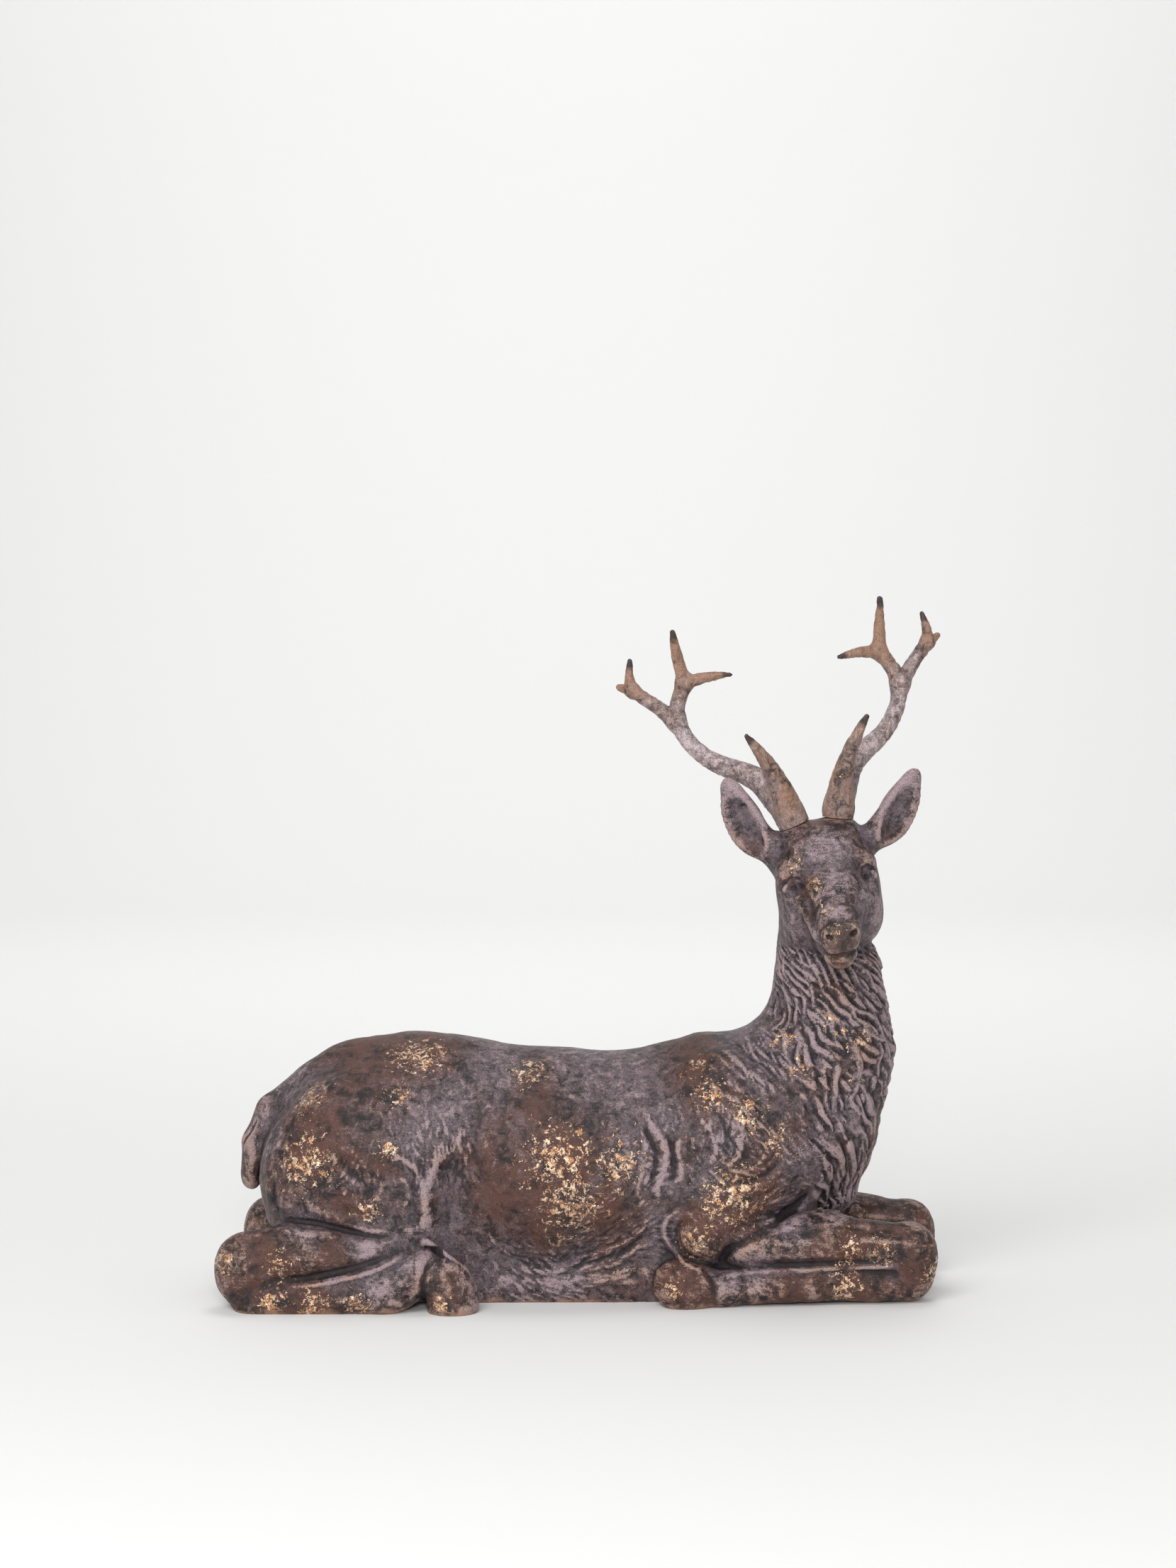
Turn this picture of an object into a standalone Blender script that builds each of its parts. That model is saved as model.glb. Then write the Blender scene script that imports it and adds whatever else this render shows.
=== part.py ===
"""Figurine of a reindeer stag lying with its legs folded and its head turned to its right.

The stag looks along +X, its right side faces -Y and +Z is up. It is modelled like clay: balls and
tapered rolls are run together, a voxel remesh makes one skin of them, and each point of the skin is
then settled on the blended surface. The carving is pressed into that skin, which is thinned to a
light mesh and cut flat where it rests. Each antler is a casting of its own on a flat seat in the skull.
"""

import math

import bmesh
import bpy
import numpy as np
from mathutils import Euler, Matrix, Vector

# Driving sizes, in metres
FIGURE_LENGTH = 0.305
ANTLER_BASE_RADIUS = 0.0067
SEAT_CLEARANCE = 0.0006
SEAT_GAP = 0.0003

# The clay is shaped in sculptor's units, one of which is a millimetre on a figure of this length
SCULPT_LENGTH = 305.0
UNIT = FIGURE_LENGTH / SCULPT_LENGTH
ANTLER_BASE = ANTLER_BASE_RADIUS / UNIT

# Fineness of the clay skin and of the finished solids
BODY_VOXEL = 1.3
ANTLER_VOXEL = 0.7
BODY_TRIANGLES = 7250
ANTLER_TRIANGLES = 1120

# How much further forward the left legs lie than the right ones
LEFT_LEGS_LEAD = 4.0

# Where the head sits on the neck, and how it is turned and tilted
HEAD_PLACE = (99.8, -8.0, 175.0)
HEAD_YAW = math.radians(3.5)
HEAD_ROLL = math.radians(-9.0)

# Centre of an antler's seat in the head's own frame, and the way the antler stands on it
SEAT_CENTRE = (9.4, 4.0, 23.6)
SEAT_AXIS = (0.25, 0.0, 1.0)

BRONZE_BROWN = (0.085, 0.048, 0.036, 1.0)
ANTLER_BROWN = (0.17, 0.105, 0.08, 1.0)


def size_of(matrix):
    """How many times larger an even scaling makes things."""
    return abs(matrix.to_3x3().determinant()) ** (1 / 3)


# Furthest that a mass's pull is felt, more than the widest blend
REACH = 24.0


class Ball:
    """An ellipsoid of clay, or a hollow of that shape where carve is set."""

    def __init__(self, centre, radii, turn=(0, 0, 0), blend=6.0, carve=False):
        self.radii = np.array(radii, float)
        self.matrix = Matrix.Translation(centre) @ Euler(np.radians(turn)).to_matrix().to_4x4()
        self.blend = blend
        self.carve = carve

    def placed(self, matrix):
        size = size_of(matrix)
        copy = Ball((0, 0, 0), self.radii * size, blend=self.blend * size, carve=self.carve)
        copy.matrix = matrix @ self.matrix @ Matrix.Scale(1.0 / size, 4)
        return copy

    def distance(self, points):
        frame = np.array(self.matrix)
        local = (points - frame[:3, 3]) @ frame[:3, :3]
        near = np.linalg.norm(local / self.radii, axis=1)
        steep = np.linalg.norm(local / self.radii**2, axis=1)
        return near * (near - 1.0) / np.maximum(steep, 1e-9)

    def ball_around(self):
        return self.matrix.translation, self.radii.max()

    def rough(self, clay):
        stretch = Matrix.Diagonal((*self.radii, 1.0))
        bmesh.ops.create_icosphere(clay, subdivisions=3, radius=1.0, matrix=self.matrix @ stretch)


class Limb:
    """A tapered round-ended roll of clay; wide stretches its section along the direction across."""

    def __init__(self, start, end, thick, thin, blend=6.0, carve=False, wide=1.0, across=(0, 1, 0)):
        self.start, self.end = Vector(start), Vector(end)
        self.thick, self.thin = thick, thin
        self.blend = blend
        self.carve = carve
        self.wide = wide
        self.across = Vector(across).normalized()

    def placed(self, matrix):
        size = size_of(matrix)
        ends = matrix @ self.start, matrix @ self.end
        across = matrix.to_3x3() @ self.across
        return Limb(*ends, self.thick * size, self.thin * size, self.blend * size, self.carve,
                    self.wide, across)

    def distance(self, points):
        along = np.array(self.end - self.start)
        from_start = points - np.array(self.start)
        share = np.clip(from_start @ along / (along @ along), 0.0, 1.0)
        offset = from_start - share[:, None] * along
        across = np.array(self.across)
        offset -= (1.0 - 1.0 / self.wide) * (offset @ across)[:, None] * across
        return np.linalg.norm(offset, axis=1) - (self.thick + share * (self.thin - self.thick))

    def ball_around(self):
        half = (self.end - self.start).length / 2
        return (self.start + self.end) / 2, half + max(self.thick, self.thin) * self.wide

    def rough(self, clay):
        along = self.end - self.start
        aim = along.to_track_quat("Z", "Y").to_matrix().to_4x4()
        middle = Matrix.Translation((self.start + self.end) / 2) @ aim
        bmesh.ops.create_cone(clay, cap_ends=True, segments=16, radius1=self.thick,
                              radius2=self.thin, depth=along.length, matrix=middle)
        for centre, radius in ((self.start, self.thick), (self.end, self.thin)):
            bmesh.ops.create_icosphere(clay, subdivisions=2, radius=radius,
                                       matrix=Matrix.Translation(centre))


def placed(masses, matrix):
    return [mass.placed(matrix) for mass in masses]


def aimed(origin, along, front):
    """A frame at origin with Z the way of along, and -Y as near to the way of front as that allows."""
    up = Vector(along).normalized()
    back = -Vector(front)
    back = (back - up * back.dot(up)).normalized()
    turn = Matrix((back.cross(up), back, up)).transposed()
    return Matrix.Translation(origin) @ turn.to_4x4()


def both_sides(masses, axis):
    """The masses and their mirror images across the plane through the origin normal to axis."""
    flip = Matrix.Scale(-1.0, 4, axis)
    return [copy for mass in masses for copy in (mass, mass.placed(flip))]


def blended_distance(points, masses):
    """Distance from the clay's surface, each mass run into those before it over its own blend.

    It holds near the surface only: further than REACH from a mass, that mass is left out.
    """
    total = np.full(len(points), REACH)
    for mass in masses:
        middle, radius = mass.ball_around()
        near = ((points - np.array(middle)) ** 2).sum(axis=1) < (radius + REACH) ** 2
        sofar = total[near]
        own = mass.distance(points[near])
        apart = sofar + own if mass.carve else sofar - own
        fillet = np.maximum(mass.blend - np.abs(apart), 0.0) ** 2 / (4.0 * mass.blend)
        total[near] = np.maximum(sofar, -own) + fillet if mass.carve else np.minimum(sofar, own) - fillet
    return total


def torso():
    """Barrel, back, loins and rump, low on the ground."""
    return [
        Ball((-17.5, 0, 54), (76.5, 46, 48)),
        Ball((43, 0, 52.5), (52.5, 39, 49.5), blend=16),
        Ball((-72.5, 0, 61), (51.5, 40, 48), (0, -6, 0), blend=18),
        Limb((-67.5, 0, 86), (5.5, 0, 78), 11, 11.5, blend=16),
        Limb((12, 0, 76), (51, 0, 87.5), 9.5, 20, blend=16),
        Ball((-104, 0, 63), (33, 24, 40), (0, 24, 0), blend=14),
        Limb((-104, 0, 9), (88, 0, 9), 25, 23, blend=12, wide=1.35),
        Ball((-55, 0, 40), (12, 58, 26), (0, 8, 0), blend=12, carve=True),
        Ball((-55, 0, 44), (40, 41, 44), blend=10),
    ]


def hind_leg():
    """The right hind leg: thigh, stifle, gaskin folded back to the hock, cannon and hoof below it."""
    return [
        Ball((-91, -24, 56), (41, 25, 38), (0, 18, 6), blend=12),
        Ball((-113, -20, 46), (23, 21, 28), (0, -8, 0), blend=10),
        Ball((-72, -31, 42), (13, 15, 23), (0, 12, 0), blend=8),
        Limb((-139, -41, 19.5), (-92, -41, 23), 11.5, 10, blend=4),
        Limb((-92, -41, 23), (-70, -38, 37), 10, 8, blend=4),
        Ball((-141.5, -42, 15), (12, 11.5, 15), (0, -14, 0), blend=4),
        Limb((-136, -44, 3), (-76, -45, 11.5), 9.5, 12.5, blend=3),
        Ball((-69, -46, 13), (9, 9.5, 12), (0, 20, 0), blend=4),
        Ball((-55, -48, 7), (12.5, 9.5, 12.5), (0, 30, 0), blend=2),
    ]


def fore_leg():
    """The right foreleg: shoulder and upper arm, forearm to the knee, cannon and hoof folded under it."""
    return [
        Ball((54, -20, 68), (28, 20, 37), (0, 22, 0), blend=10),
        Ball((66, -23, 58), (20, 18, 21), (0, 36, 0), blend=8),
        Limb((66, -27, 50), (48, -32, 34), 15, 12, blend=5),
        Ball((45, -33, 31), (11.5, 12.5, 15.5), (0, -12, 0), blend=5),
        Limb((62, -31, 25), (133.5, -26.5, 21), 10.5, 10.8, blend=3),
        Ball((134.5, -26.5, 16.5), (11, 11.2, 15.5), blend=4),
        Limb((134.5, -27, 8), (56, -36, 6.5), 7.5, 6.2, blend=2, wide=1.2),
        Ball((41, -38, 7.5), (13.5, 9, 11), (0, 14, 0), blend=3),
    ]


def neck():
    """Throat and neck rising from the chest to the skull, and the beard between the forelegs."""
    return [
        Ball((87.5, 0, 73.5), (36, 33.5, 36.5), (0, 8, 0), blend=16),
        Limb((102, 0, 103.5), (102.5, 1, 132), 27.5, 22, blend=14),
        Limb((99.5, 1, 120), (95.5, -1, 153), 17, 15, blend=12),
        Limb((96.5, -1, 148.5), (97, -2, 172), 16, 16, blend=8),
        Limb((64.5, 0, 85), (92, 0, 119), 18, 4, blend=12),
        Limb((101, -2, 60), (105.5, -5, 42), 11, 6.5, blend=10),
    ]


def ear(root, tip, facing, side):
    """A leaf-shaped ear from root to tip, hollowed on the side that faces the given way."""
    leaf = [
        Limb((0.5, 3, -3), (3, 1.5, 8), 6.0, 6.2, blend=5),
        Ball((3.7, 0.8, 16.5), (7.7, 4.4, 13.5), (0, -12, 0), blend=4),
        Ball((1.6, 0, 26.5), (5.2, 2.8, 10.5), (0, -10, 0), blend=3),
        Ball((3.4, -4.6, 17), (5.8, 4.6, 14.5), (0, -10, 0), blend=1.5, carve=True),
    ]
    stretch = (Vector(tip) - Vector(root)).length / 37.0
    frame = aimed(root, Vector(tip) - Vector(root), facing)
    return placed(leaf, frame @ Matrix.Scale(stretch, 4) @ Matrix.Scale(side, 4, (1, 0, 0)))


def head():
    """Skull, face, muzzle, eyes and ears, with the nose along -Y, before the head is turned."""
    middle = [
        Ball((0, 3, 6.5), (19.5, 18, 18), blend=8),
        Ball((0, -4, 7), (17.5, 12.5, 14), blend=6),
        Limb((0, -7, -3), (-2.2, -35, -17.8), 13.5, 8.4, blend=7),
        Limb((0, -3, -18), (-3, -35, -28.4), 12.5, 5.4, blend=5),
        Ball((-2.3, -40.5, -20.4), (7.8, 6.6, 6.2), blend=2.0),
        Ball((-3.2, -37, -29.6), (5.8, 5.4, 4.6), blend=1.5),
    ]
    pairs = both_sides([
        Ball((15, -9.8, 5.4), (6.4, 6.4, 4), (0, 8, 22), blend=5),
        Ball((12.4, -3, -12), (8.9, 15.5, 13.2), (8, 0, 6), blend=6),
        Limb((SEAT_CENTRE[0] - 2, 4, 8), (SEAT_CENTRE[0], 4, 17.4), 9, 7.6, blend=6),
        Ball((19.5, -14.5, -0.6), (5, 5.2, 4.6), blend=2.5, carve=True),
        Limb((13.5, -19, 0), (9.5, -31, -13.5), 3.2, 2.2, blend=3, carve=True),
        Ball((16.6, -11.2, -0.8), (4.8, 5, 4.4), blend=0.8),
        Ball((4.6, -46.6, -19.6), (2.0, 1.8, 1.5), (0, 25, 0), blend=1.0, carve=True),
    ], (1, 0, 0))
    ears = (ear((-18.5, 4, 13.5), (-35.4, 3, 48), (-0.3, -1, 0), -1)
            + ear((20, 4, 12), (46, 5, 38.8), (0.35, -1, 0), 1))
    return middle + pairs + ears


def tail():
    """A short flat tail that hangs clear of the rump at its tip."""
    return [
        Limb((-128, 0, 84), (-139.5, 0, 66), 6.5, 5.2, blend=5, wide=1.5),
        Limb((-139.5, 0, 66), (-140.5, 0, 47), 5.0, 4.4, blend=3, wide=1.8),
    ]


def head_frame():
    turn = Matrix.Rotation(HEAD_YAW, 4, "Z") @ Matrix.Rotation(HEAD_ROLL, 4, "Y")
    return Matrix.Translation(HEAD_PLACE) @ turn


def on_side(x, z, masses):
    """Where a needle pushed in from the right at (x, z) meets the clay."""
    y = -80.0
    for _ in range(30):
        y += 0.8 * blended_distance(np.array([(x, y, z)]), masses)[0]
    return (x, y, z)


# Folds and creases of the hide, each as radius, whether it is pressed in, and its run of (x, z)
HIDE_STROKES = {
    "flank_fold": (2.6, False, [(-61, 30), (-64, 43), (-64, 56), (-75, 67)]),
    "flank_fork": (2.0, False, [(-64, 54), (-59, 68)]),
    "thigh_hollow": (2.8, True, [(-101, 66), (-95, 58), (-90, 52)]),
    "thigh_crease": (1.8, True, [(-121, 34), (-103, 34), (-90, 32), (-80, 30)]),
    "behind_shoulder": (2.2, True, [(30, 80), (27, 68), (29, 52), (33, 42)]),
    "shoulder_edge": (2.0, True, [(62, 40), (74, 44), (86, 56), (88, 68)]),
}


def hide_strokes(masses):
    made = []
    for radius, pressed, run in HIDE_STROKES.values():
        spots = [on_side(x, z, masses) for x, z in run]
        made += [Limb(a, b, radius, radius, 1.2 * radius, pressed) for a, b in zip(spots, spots[1:])]
    return both_sides(made, (0, 1, 0))


def stag_clay():
    right_legs = hind_leg() + fore_leg()
    other_side = Matrix.Translation((LEFT_LEGS_LEAD, 0, 0)) @ Matrix.Scale(-1.0, 4, (0, 1, 0))
    trunk = torso() + right_legs + placed(right_legs, other_side) + neck()
    return trunk + hide_strokes(trunk) + placed(head(), head_frame()) + tail()


# Height above ground, the mane's rear edge and the neck's axis there
MANE_RUN = np.array([
    (30, 95, 100), (60, 92, 94), (80, 88, 92), (100, 82, 96), (115, 74, 99), (135, 78, 99), (150, 79, 98)])
MANE_TOP = 146.0
NECK_GIRTH = 26.0
LOCK_LENGTH = 13.0
LOCK_WIDTH = 3.0
LOCK_DEPTH = 2.0
ROW_STEP = 13.0
LOCK_STEP = 6.0


def eased(share):
    share = np.clip(share, 0.0, 1.0)
    return share * share * (3.0 - 2.0 * share)


def lean_of(around, height):
    """How far a lock leans from hanging straight, in radians, towards the middle of the chest."""
    steep = np.interp(height, (45, 70, 115), (0.15, 0.45, 0.85))
    return -np.sign(around) * steep * eased(np.abs(around) / 24.0)


def lock_seeds():
    """Middles of the locks, in rows round the neck, each row set half a lock along from the last."""
    chance = np.random.default_rng(12)
    seeds = []
    for row, height in enumerate(np.arange(32.0, MANE_TOP + 4, ROW_STEP)):
        for around in np.arange(-60.0, 60.0, LOCK_STEP):
            seeds.append((around + LOCK_STEP * (row % 2) / 2, height))
    return np.array(seeds) + chance.uniform(-1.0, 1.0, (len(seeds), 2)) * (1.2, 4.5)


def mane_relief(points):
    """How far the locks of the mane stand out, or their partings lie in, at each point."""
    x, y, z = points.T
    rear = np.interp(z, MANE_RUN[:, 0], MANE_RUN[:, 1])
    axis = np.interp(z, MANE_RUN[:, 0], MANE_RUN[:, 2])
    inside = eased((x - rear) / 3.5) * eased((MANE_TOP - z) / 4.0) * eased((z - 26.0) / 6.0)
    inside *= np.hypot(x - axis, y) < np.interp(z, (50, 90, 125, 140), (26, 44, 34, 29))
    relief = np.zeros(len(points))
    near = np.flatnonzero(inside > 0.0)
    turn = NECK_GIRTH * np.arctan2(y[near], x[near] - axis[near])
    height = z[near] + 1.2 * np.sin(turn / 3.7)
    around = turn + 1.3 * np.sin(z[near] / 5.3 + turn / 9.0)
    seeds = lock_seeds()
    first = np.full(len(near), 1e9)
    second = first.copy()
    ramp = np.zeros(len(near))
    for seed_around, seed_height in seeds:
        lean = lean_of(seed_around, seed_height)
        over, up = around - seed_around, height - seed_height
        along = over * np.sin(lean) - up * np.cos(lean)
        across = over * np.cos(lean) + up * np.sin(lean)
        gap = np.hypot(along / LOCK_LENGTH, across / LOCK_WIDTH)
        ramp = np.where(gap < first, along / LOCK_LENGTH, ramp)
        second = np.minimum(second, np.maximum(gap, first))
        first = np.minimum(first, gap)
    crest = eased((second - first) / 0.55)
    relief[near] = inside[near] * (LOCK_DEPTH * (crest - 0.62) + 0.7 * ramp)
    return relief


# Each run is a list of points and radii in the head's frame, beside the left seat; the crown forks twice
ANTLER_RUNS = {
    "brow_tine": [((-0.8, 0, -3), ANTLER_BASE), ((1.0, -1, 5), 6.3), ((2.8, -2.5, 14), 4.9), ((7, -6, 25), 3.5),
                  ((11.5, -9.5, 33.5), 2.5), ((16.4, -12, 41), 1.5)],
    "beam": [((1.2, 1, 5), 6.2), ((5, 5, 12), 5.8), ((10, 9, 20), 5.1), ((17, 13, 25.2), 4.5),
             ((24.5, 16, 29.2), 4.0), ((31, 18.5, 34.6), 3.6), ((36, 21, 42), 3.4), ((38.8, 23, 50), 3.6)],
    "inner_branch": [((38.8, 23, 50), 3.8), ((37, 24.5, 57), 3.2), ((32.5, 26, 65.4), 3.4)],
    "upper_tine": [((32.5, 26, 65.4), 3.0), ((34.2, 24, 77), 2.3), ((35.2, 20, 87.3), 1.5)],
    "inner_tine": [((32.5, 26, 65.4), 2.9), ((23.5, 22, 66.4), 2.2), ((14.0, 18, 66.0), 1.4)],
    "outer_branch": [((38.8, 23, 50), 3.8), ((46, 27, 57.5), 3.0), ((54.4, 30, 65.5), 2.8)],
    "outer_tine": [((54.4, 30, 65.5), 2.5), ((55.0, 29, 71.5), 2.0), ((53.8, 28, 78), 1.3)],
    "outer_tip": [((54.4, 30, 65.5), 2.5), ((59.4, 32, 67.5), 1.7)],
}
# How far each antler is turned on its seat, by its side: -1 for the right one, 1 for the left one
ANTLER_YAW = {-1: math.radians(4.5), 1: math.radians(2.0)}


def antler_clay(side):
    """One antler's runs as chains of tapered rolls, in the head's frame."""
    rolls = []
    for run in ANTLER_RUNS.values():
        for (start, thick), (end, thin) in zip(run, run[1:]):
            rolls.append(Limb(start, end, thick, thin, blend=2.2))
    place = Matrix.Translation((side * SEAT_CENTRE[0], *SEAT_CENTRE[1:]))
    turn = Matrix.Rotation(ANTLER_YAW[side], 4, "Z")
    return placed(rolls, place @ turn @ Matrix.Scale(side, 4, (1, 0, 0)))


def evaluated(mesh, kind, **settings):
    """A new mesh: the given one with one modifier applied."""
    holder = bpy.data.objects.new("holder", mesh)
    bpy.context.scene.collection.objects.link(holder)
    modifier = holder.modifiers.new(kind.title(), kind)
    for name, value in settings.items():
        setattr(modifier, name, value)
    graph = bpy.context.evaluated_depsgraph_get()
    made = bpy.data.meshes.new_from_object(holder.evaluated_get(graph))
    bpy.data.objects.remove(holder)
    bpy.data.meshes.remove(mesh)
    return made


def points_and_normals(mesh):
    points = np.empty(len(mesh.vertices) * 3)
    normals = np.empty(len(mesh.vertices) * 3)
    mesh.vertices.foreach_get("co", points)
    mesh.vertices.foreach_get("normal", normals)
    return points.reshape(-1, 3), normals.reshape(-1, 3)


def move_points(mesh, points):
    mesh.vertices.foreach_set("co", points.ravel())
    mesh.update()


def settle(mesh, masses, steps, furthest, relief=None):
    """Moves each point of the skin along its normal onto the blended surface and its relief."""
    for _ in range(steps):
        points, normals = points_and_normals(mesh)
        away = blended_distance(points, masses)
        if relief:
            away -= relief(points)
        move_points(mesh, points - normals * np.clip(away, -furthest, furthest)[:, None])


def skin(masses, voxel, relief=None):
    """One closed skin over the masses, all run together."""
    clay = bmesh.new()
    for mass in masses:
        if not mass.carve:
            mass.rough(clay)
    mesh = bpy.data.meshes.new("clay")
    clay.to_mesh(mesh)
    clay.free()
    for size in (2 * voxel, voxel):
        mesh = evaluated(mesh, "REMESH", mode="VOXEL", voxel_size=size, adaptivity=0.0)
        settle(mesh, masses, steps=5, furthest=size)
    if relief:
        settle(mesh, masses, steps=3, furthest=voxel, relief=relief)
    return mesh


def thinned(mesh, triangles):
    """The mesh as about that many triangles, the most where the form is finest."""
    faces = sum(len(face.vertices) - 2 for face in mesh.polygons)
    return evaluated(mesh, "DECIMATE", ratio=min(1.0, triangles / faces), use_collapse_triangulate=True)


def cut_flat(mesh, point, normal):
    """Cuts away what lies below the plane, and closes the cut with one flat face."""
    solid = bmesh.new()
    solid.from_mesh(mesh)
    everything = solid.verts[:] + solid.edges[:] + solid.faces[:]
    cut = bmesh.ops.bisect_plane(solid, geom=everything, dist=1e-4, plane_co=point,
                                 plane_no=normal, clear_inner=True)
    rim = [item for item in cut["geom_cut"] if isinstance(item, bmesh.types.BMEdge)]
    bmesh.ops.triangle_fill(solid, edges=rim, normal=-Vector(normal), use_beauty=True)
    bmesh.ops.recalc_face_normals(solid, faces=solid.faces)
    solid.to_mesh(mesh)
    solid.free()
    mesh.update()


def finish_mesh(mesh, name):
    """Scales the clay from sculptor's units to metres and shades it smooth."""
    mesh.transform(Matrix.Scale(UNIT, 4))
    mesh.name = name
    mesh.shade_smooth()
    return mesh


def painted(name, colour, roughness, metallic):
    material = bpy.data.materials.new(name)
    material.use_nodes = True
    shader = material.node_tree.nodes["Principled BSDF"]
    shader.inputs["Base Color"].default_value = colour
    shader.inputs["Roughness"].default_value = roughness
    shader.inputs["Metallic"].default_value = metallic
    return material


def add_object(name, mesh, collection, material=None):
    obj = bpy.data.objects.new(name, mesh)
    collection.objects.link(obj)
    if material:
        mesh.materials.append(material)
    return obj


def seat_frame(side):
    """A seat's frame in sculptor's units, with Z square to the seat; side is 1 for the left antler."""
    centre = Vector((side * SEAT_CENTRE[0], *SEAT_CENTRE[1:]))
    axis = Vector((side * SEAT_AXIS[0], *SEAT_AXIS[1:]))
    return head_frame() @ aimed(centre, axis, (0, -1, 0))


def seat_cutter(side, name, cutters):
    """A disc that trims the skull flat under an antler, kept out of the render."""
    disc = bmesh.new()
    radius = ANTLER_BASE + SEAT_CLEARANCE / UNIT
    bmesh.ops.create_cone(disc, cap_ends=True, segments=32, radius1=radius, radius2=radius, depth=radius)
    disc.transform(seat_frame(side) @ Matrix.Translation((0, 0, radius / 2)))
    mesh = bpy.data.meshes.new(name)
    disc.to_mesh(mesh)
    disc.free()
    mesh.transform(Matrix.Scale(UNIT, 4))
    cutter = add_object(name, mesh, cutters)
    cutter.hide_render = True
    cutter.display_type = "WIRE"
    return cutter


def centre_on_ground(objects):
    """Moves everything so that the whole stands on Z = 0, centred on the origin."""
    corners = np.concatenate([points_and_normals(obj.data)[0] for obj in objects])
    low, high = corners.min(axis=0), corners.max(axis=0)
    shift = Matrix.Translation(-Vector(((low[0] + high[0]) / 2, (low[1] + high[1]) / 2, low[2])))
    for obj in bpy.data.objects:
        obj.data.transform(shift)


def main():
    for old in list(bpy.data.objects):
        bpy.data.objects.remove(old)
    figure = bpy.data.collections.new("reindeer_figurine")
    cutters = bpy.data.collections.new("cutters")
    for collection in (figure, cutters):
        bpy.context.scene.collection.children.link(collection)

    body = thinned(skin(stag_clay(), BODY_VOXEL, mane_relief), BODY_TRIANGLES)
    cut_flat(body, (0, 0, 0), (0, 0, 1))
    stag = add_object("stag_body", finish_mesh(body, "stag_body"), figure,
                      painted("antique_bronze_resin", BRONZE_BROWN, 0.45, 0.25))
    solids = [stag]
    for side, name in ((-1, "antler_right"), (1, "antler_left")):
        antler = thinned(skin(placed(antler_clay(side), head_frame()), ANTLER_VOXEL), ANTLER_TRIANGLES)
        seat = seat_frame(side)
        seat_up = seat.to_3x3().col[2]
        cut_flat(antler, seat.translation + seat_up * SEAT_GAP / UNIT, seat_up)
        solids.append(add_object(name, finish_mesh(antler, name), figure,
                                 painted(name + "_resin", ANTLER_BROWN, 0.5, 0.2)))
        trim = stag.modifiers.new("seat_of_" + name, "BOOLEAN")
        trim.operation = "DIFFERENCE"
        trim.solver = "EXACT"
        trim.object = seat_cutter(side, "cut_seat_of_" + name, cutters)
    centre_on_ground(solids)


main()
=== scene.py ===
# %% [markdown]
# # A resting stag, cast in resin and painted as old bronze
# The ornament is one casting of a stag that lies with folded legs, plus two antlers that stand on
# flat seats in its skull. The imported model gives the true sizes; this lesson makes the finer surface
# and the painted finish that go over it. Everything is in metres, with +X the way the body faces.

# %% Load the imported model
import math

import bmesh
import bpy
import numpy as np
from mathutils import Euler, Matrix, Vector
from mathutils.kdtree import KDTree


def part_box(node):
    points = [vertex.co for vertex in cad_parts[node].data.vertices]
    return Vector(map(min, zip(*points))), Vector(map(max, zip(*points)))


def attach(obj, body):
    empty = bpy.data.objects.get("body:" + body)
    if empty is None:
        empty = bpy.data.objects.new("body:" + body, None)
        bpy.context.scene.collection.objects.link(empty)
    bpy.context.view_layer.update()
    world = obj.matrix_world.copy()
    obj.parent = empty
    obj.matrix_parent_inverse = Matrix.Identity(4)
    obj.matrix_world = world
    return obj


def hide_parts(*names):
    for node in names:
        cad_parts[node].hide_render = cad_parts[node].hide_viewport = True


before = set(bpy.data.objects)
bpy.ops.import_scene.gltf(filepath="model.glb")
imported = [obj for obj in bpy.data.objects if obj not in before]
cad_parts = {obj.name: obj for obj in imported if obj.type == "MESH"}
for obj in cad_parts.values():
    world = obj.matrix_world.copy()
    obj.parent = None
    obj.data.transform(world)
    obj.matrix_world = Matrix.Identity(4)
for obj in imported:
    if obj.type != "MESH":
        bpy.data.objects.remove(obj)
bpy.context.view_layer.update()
MM = 0.001

# %% [markdown]
# ## The camera
# The picture was taken level with the stag's head from about 1.4 m, looking down a little, so the
# camera is placed by those numbers. Its lens follows from how large the stag is in the picture: a
# focal length in pixels becomes millimetres on a 36 mm sensor along the picture's long side.

# %% Place the camera
PHOTO_HEIGHT = 2212
FOCAL_PIXELS = 4705.0
CAMERA_PLACE = (0.0011, -1.4, 0.2996)
CAMERA_TILT = math.radians(86.5)

camera = bpy.data.objects.new("camera", bpy.data.cameras.new("camera"))
bpy.context.scene.collection.objects.link(camera)
camera.data.sensor_width = 36.0
camera.data.lens = FOCAL_PIXELS * camera.data.sensor_width / PHOTO_HEIGHT
camera.data.clip_start = 0.01
camera.location = CAMERA_PLACE
camera.rotation_euler = (CAMERA_TILT, 0.0, 0.0)
bpy.context.scene.camera = camera
print("lens, mm:", round(camera.data.lens, 1))

# %% [markdown]
# ## The studio
# A product picture on white is made on a sweep: paper that runs flat under the object and curves up
# behind it, so that no edge shows. A sweep could be a subdivided plane bent by a modifier; a short
# profile that is drawn once and stretched sideways is simpler, and it is easy to read.

# %% Make the paper sweep
SWEEP_HALF_WIDTH = 3.0
SWEEP_FRONT = -2.5
SWEEP_BACK = 1.6
SWEEP_BEND = 0.9
SWEEP_TOP = 3.5
SWEEP_STEPS = 24


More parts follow.
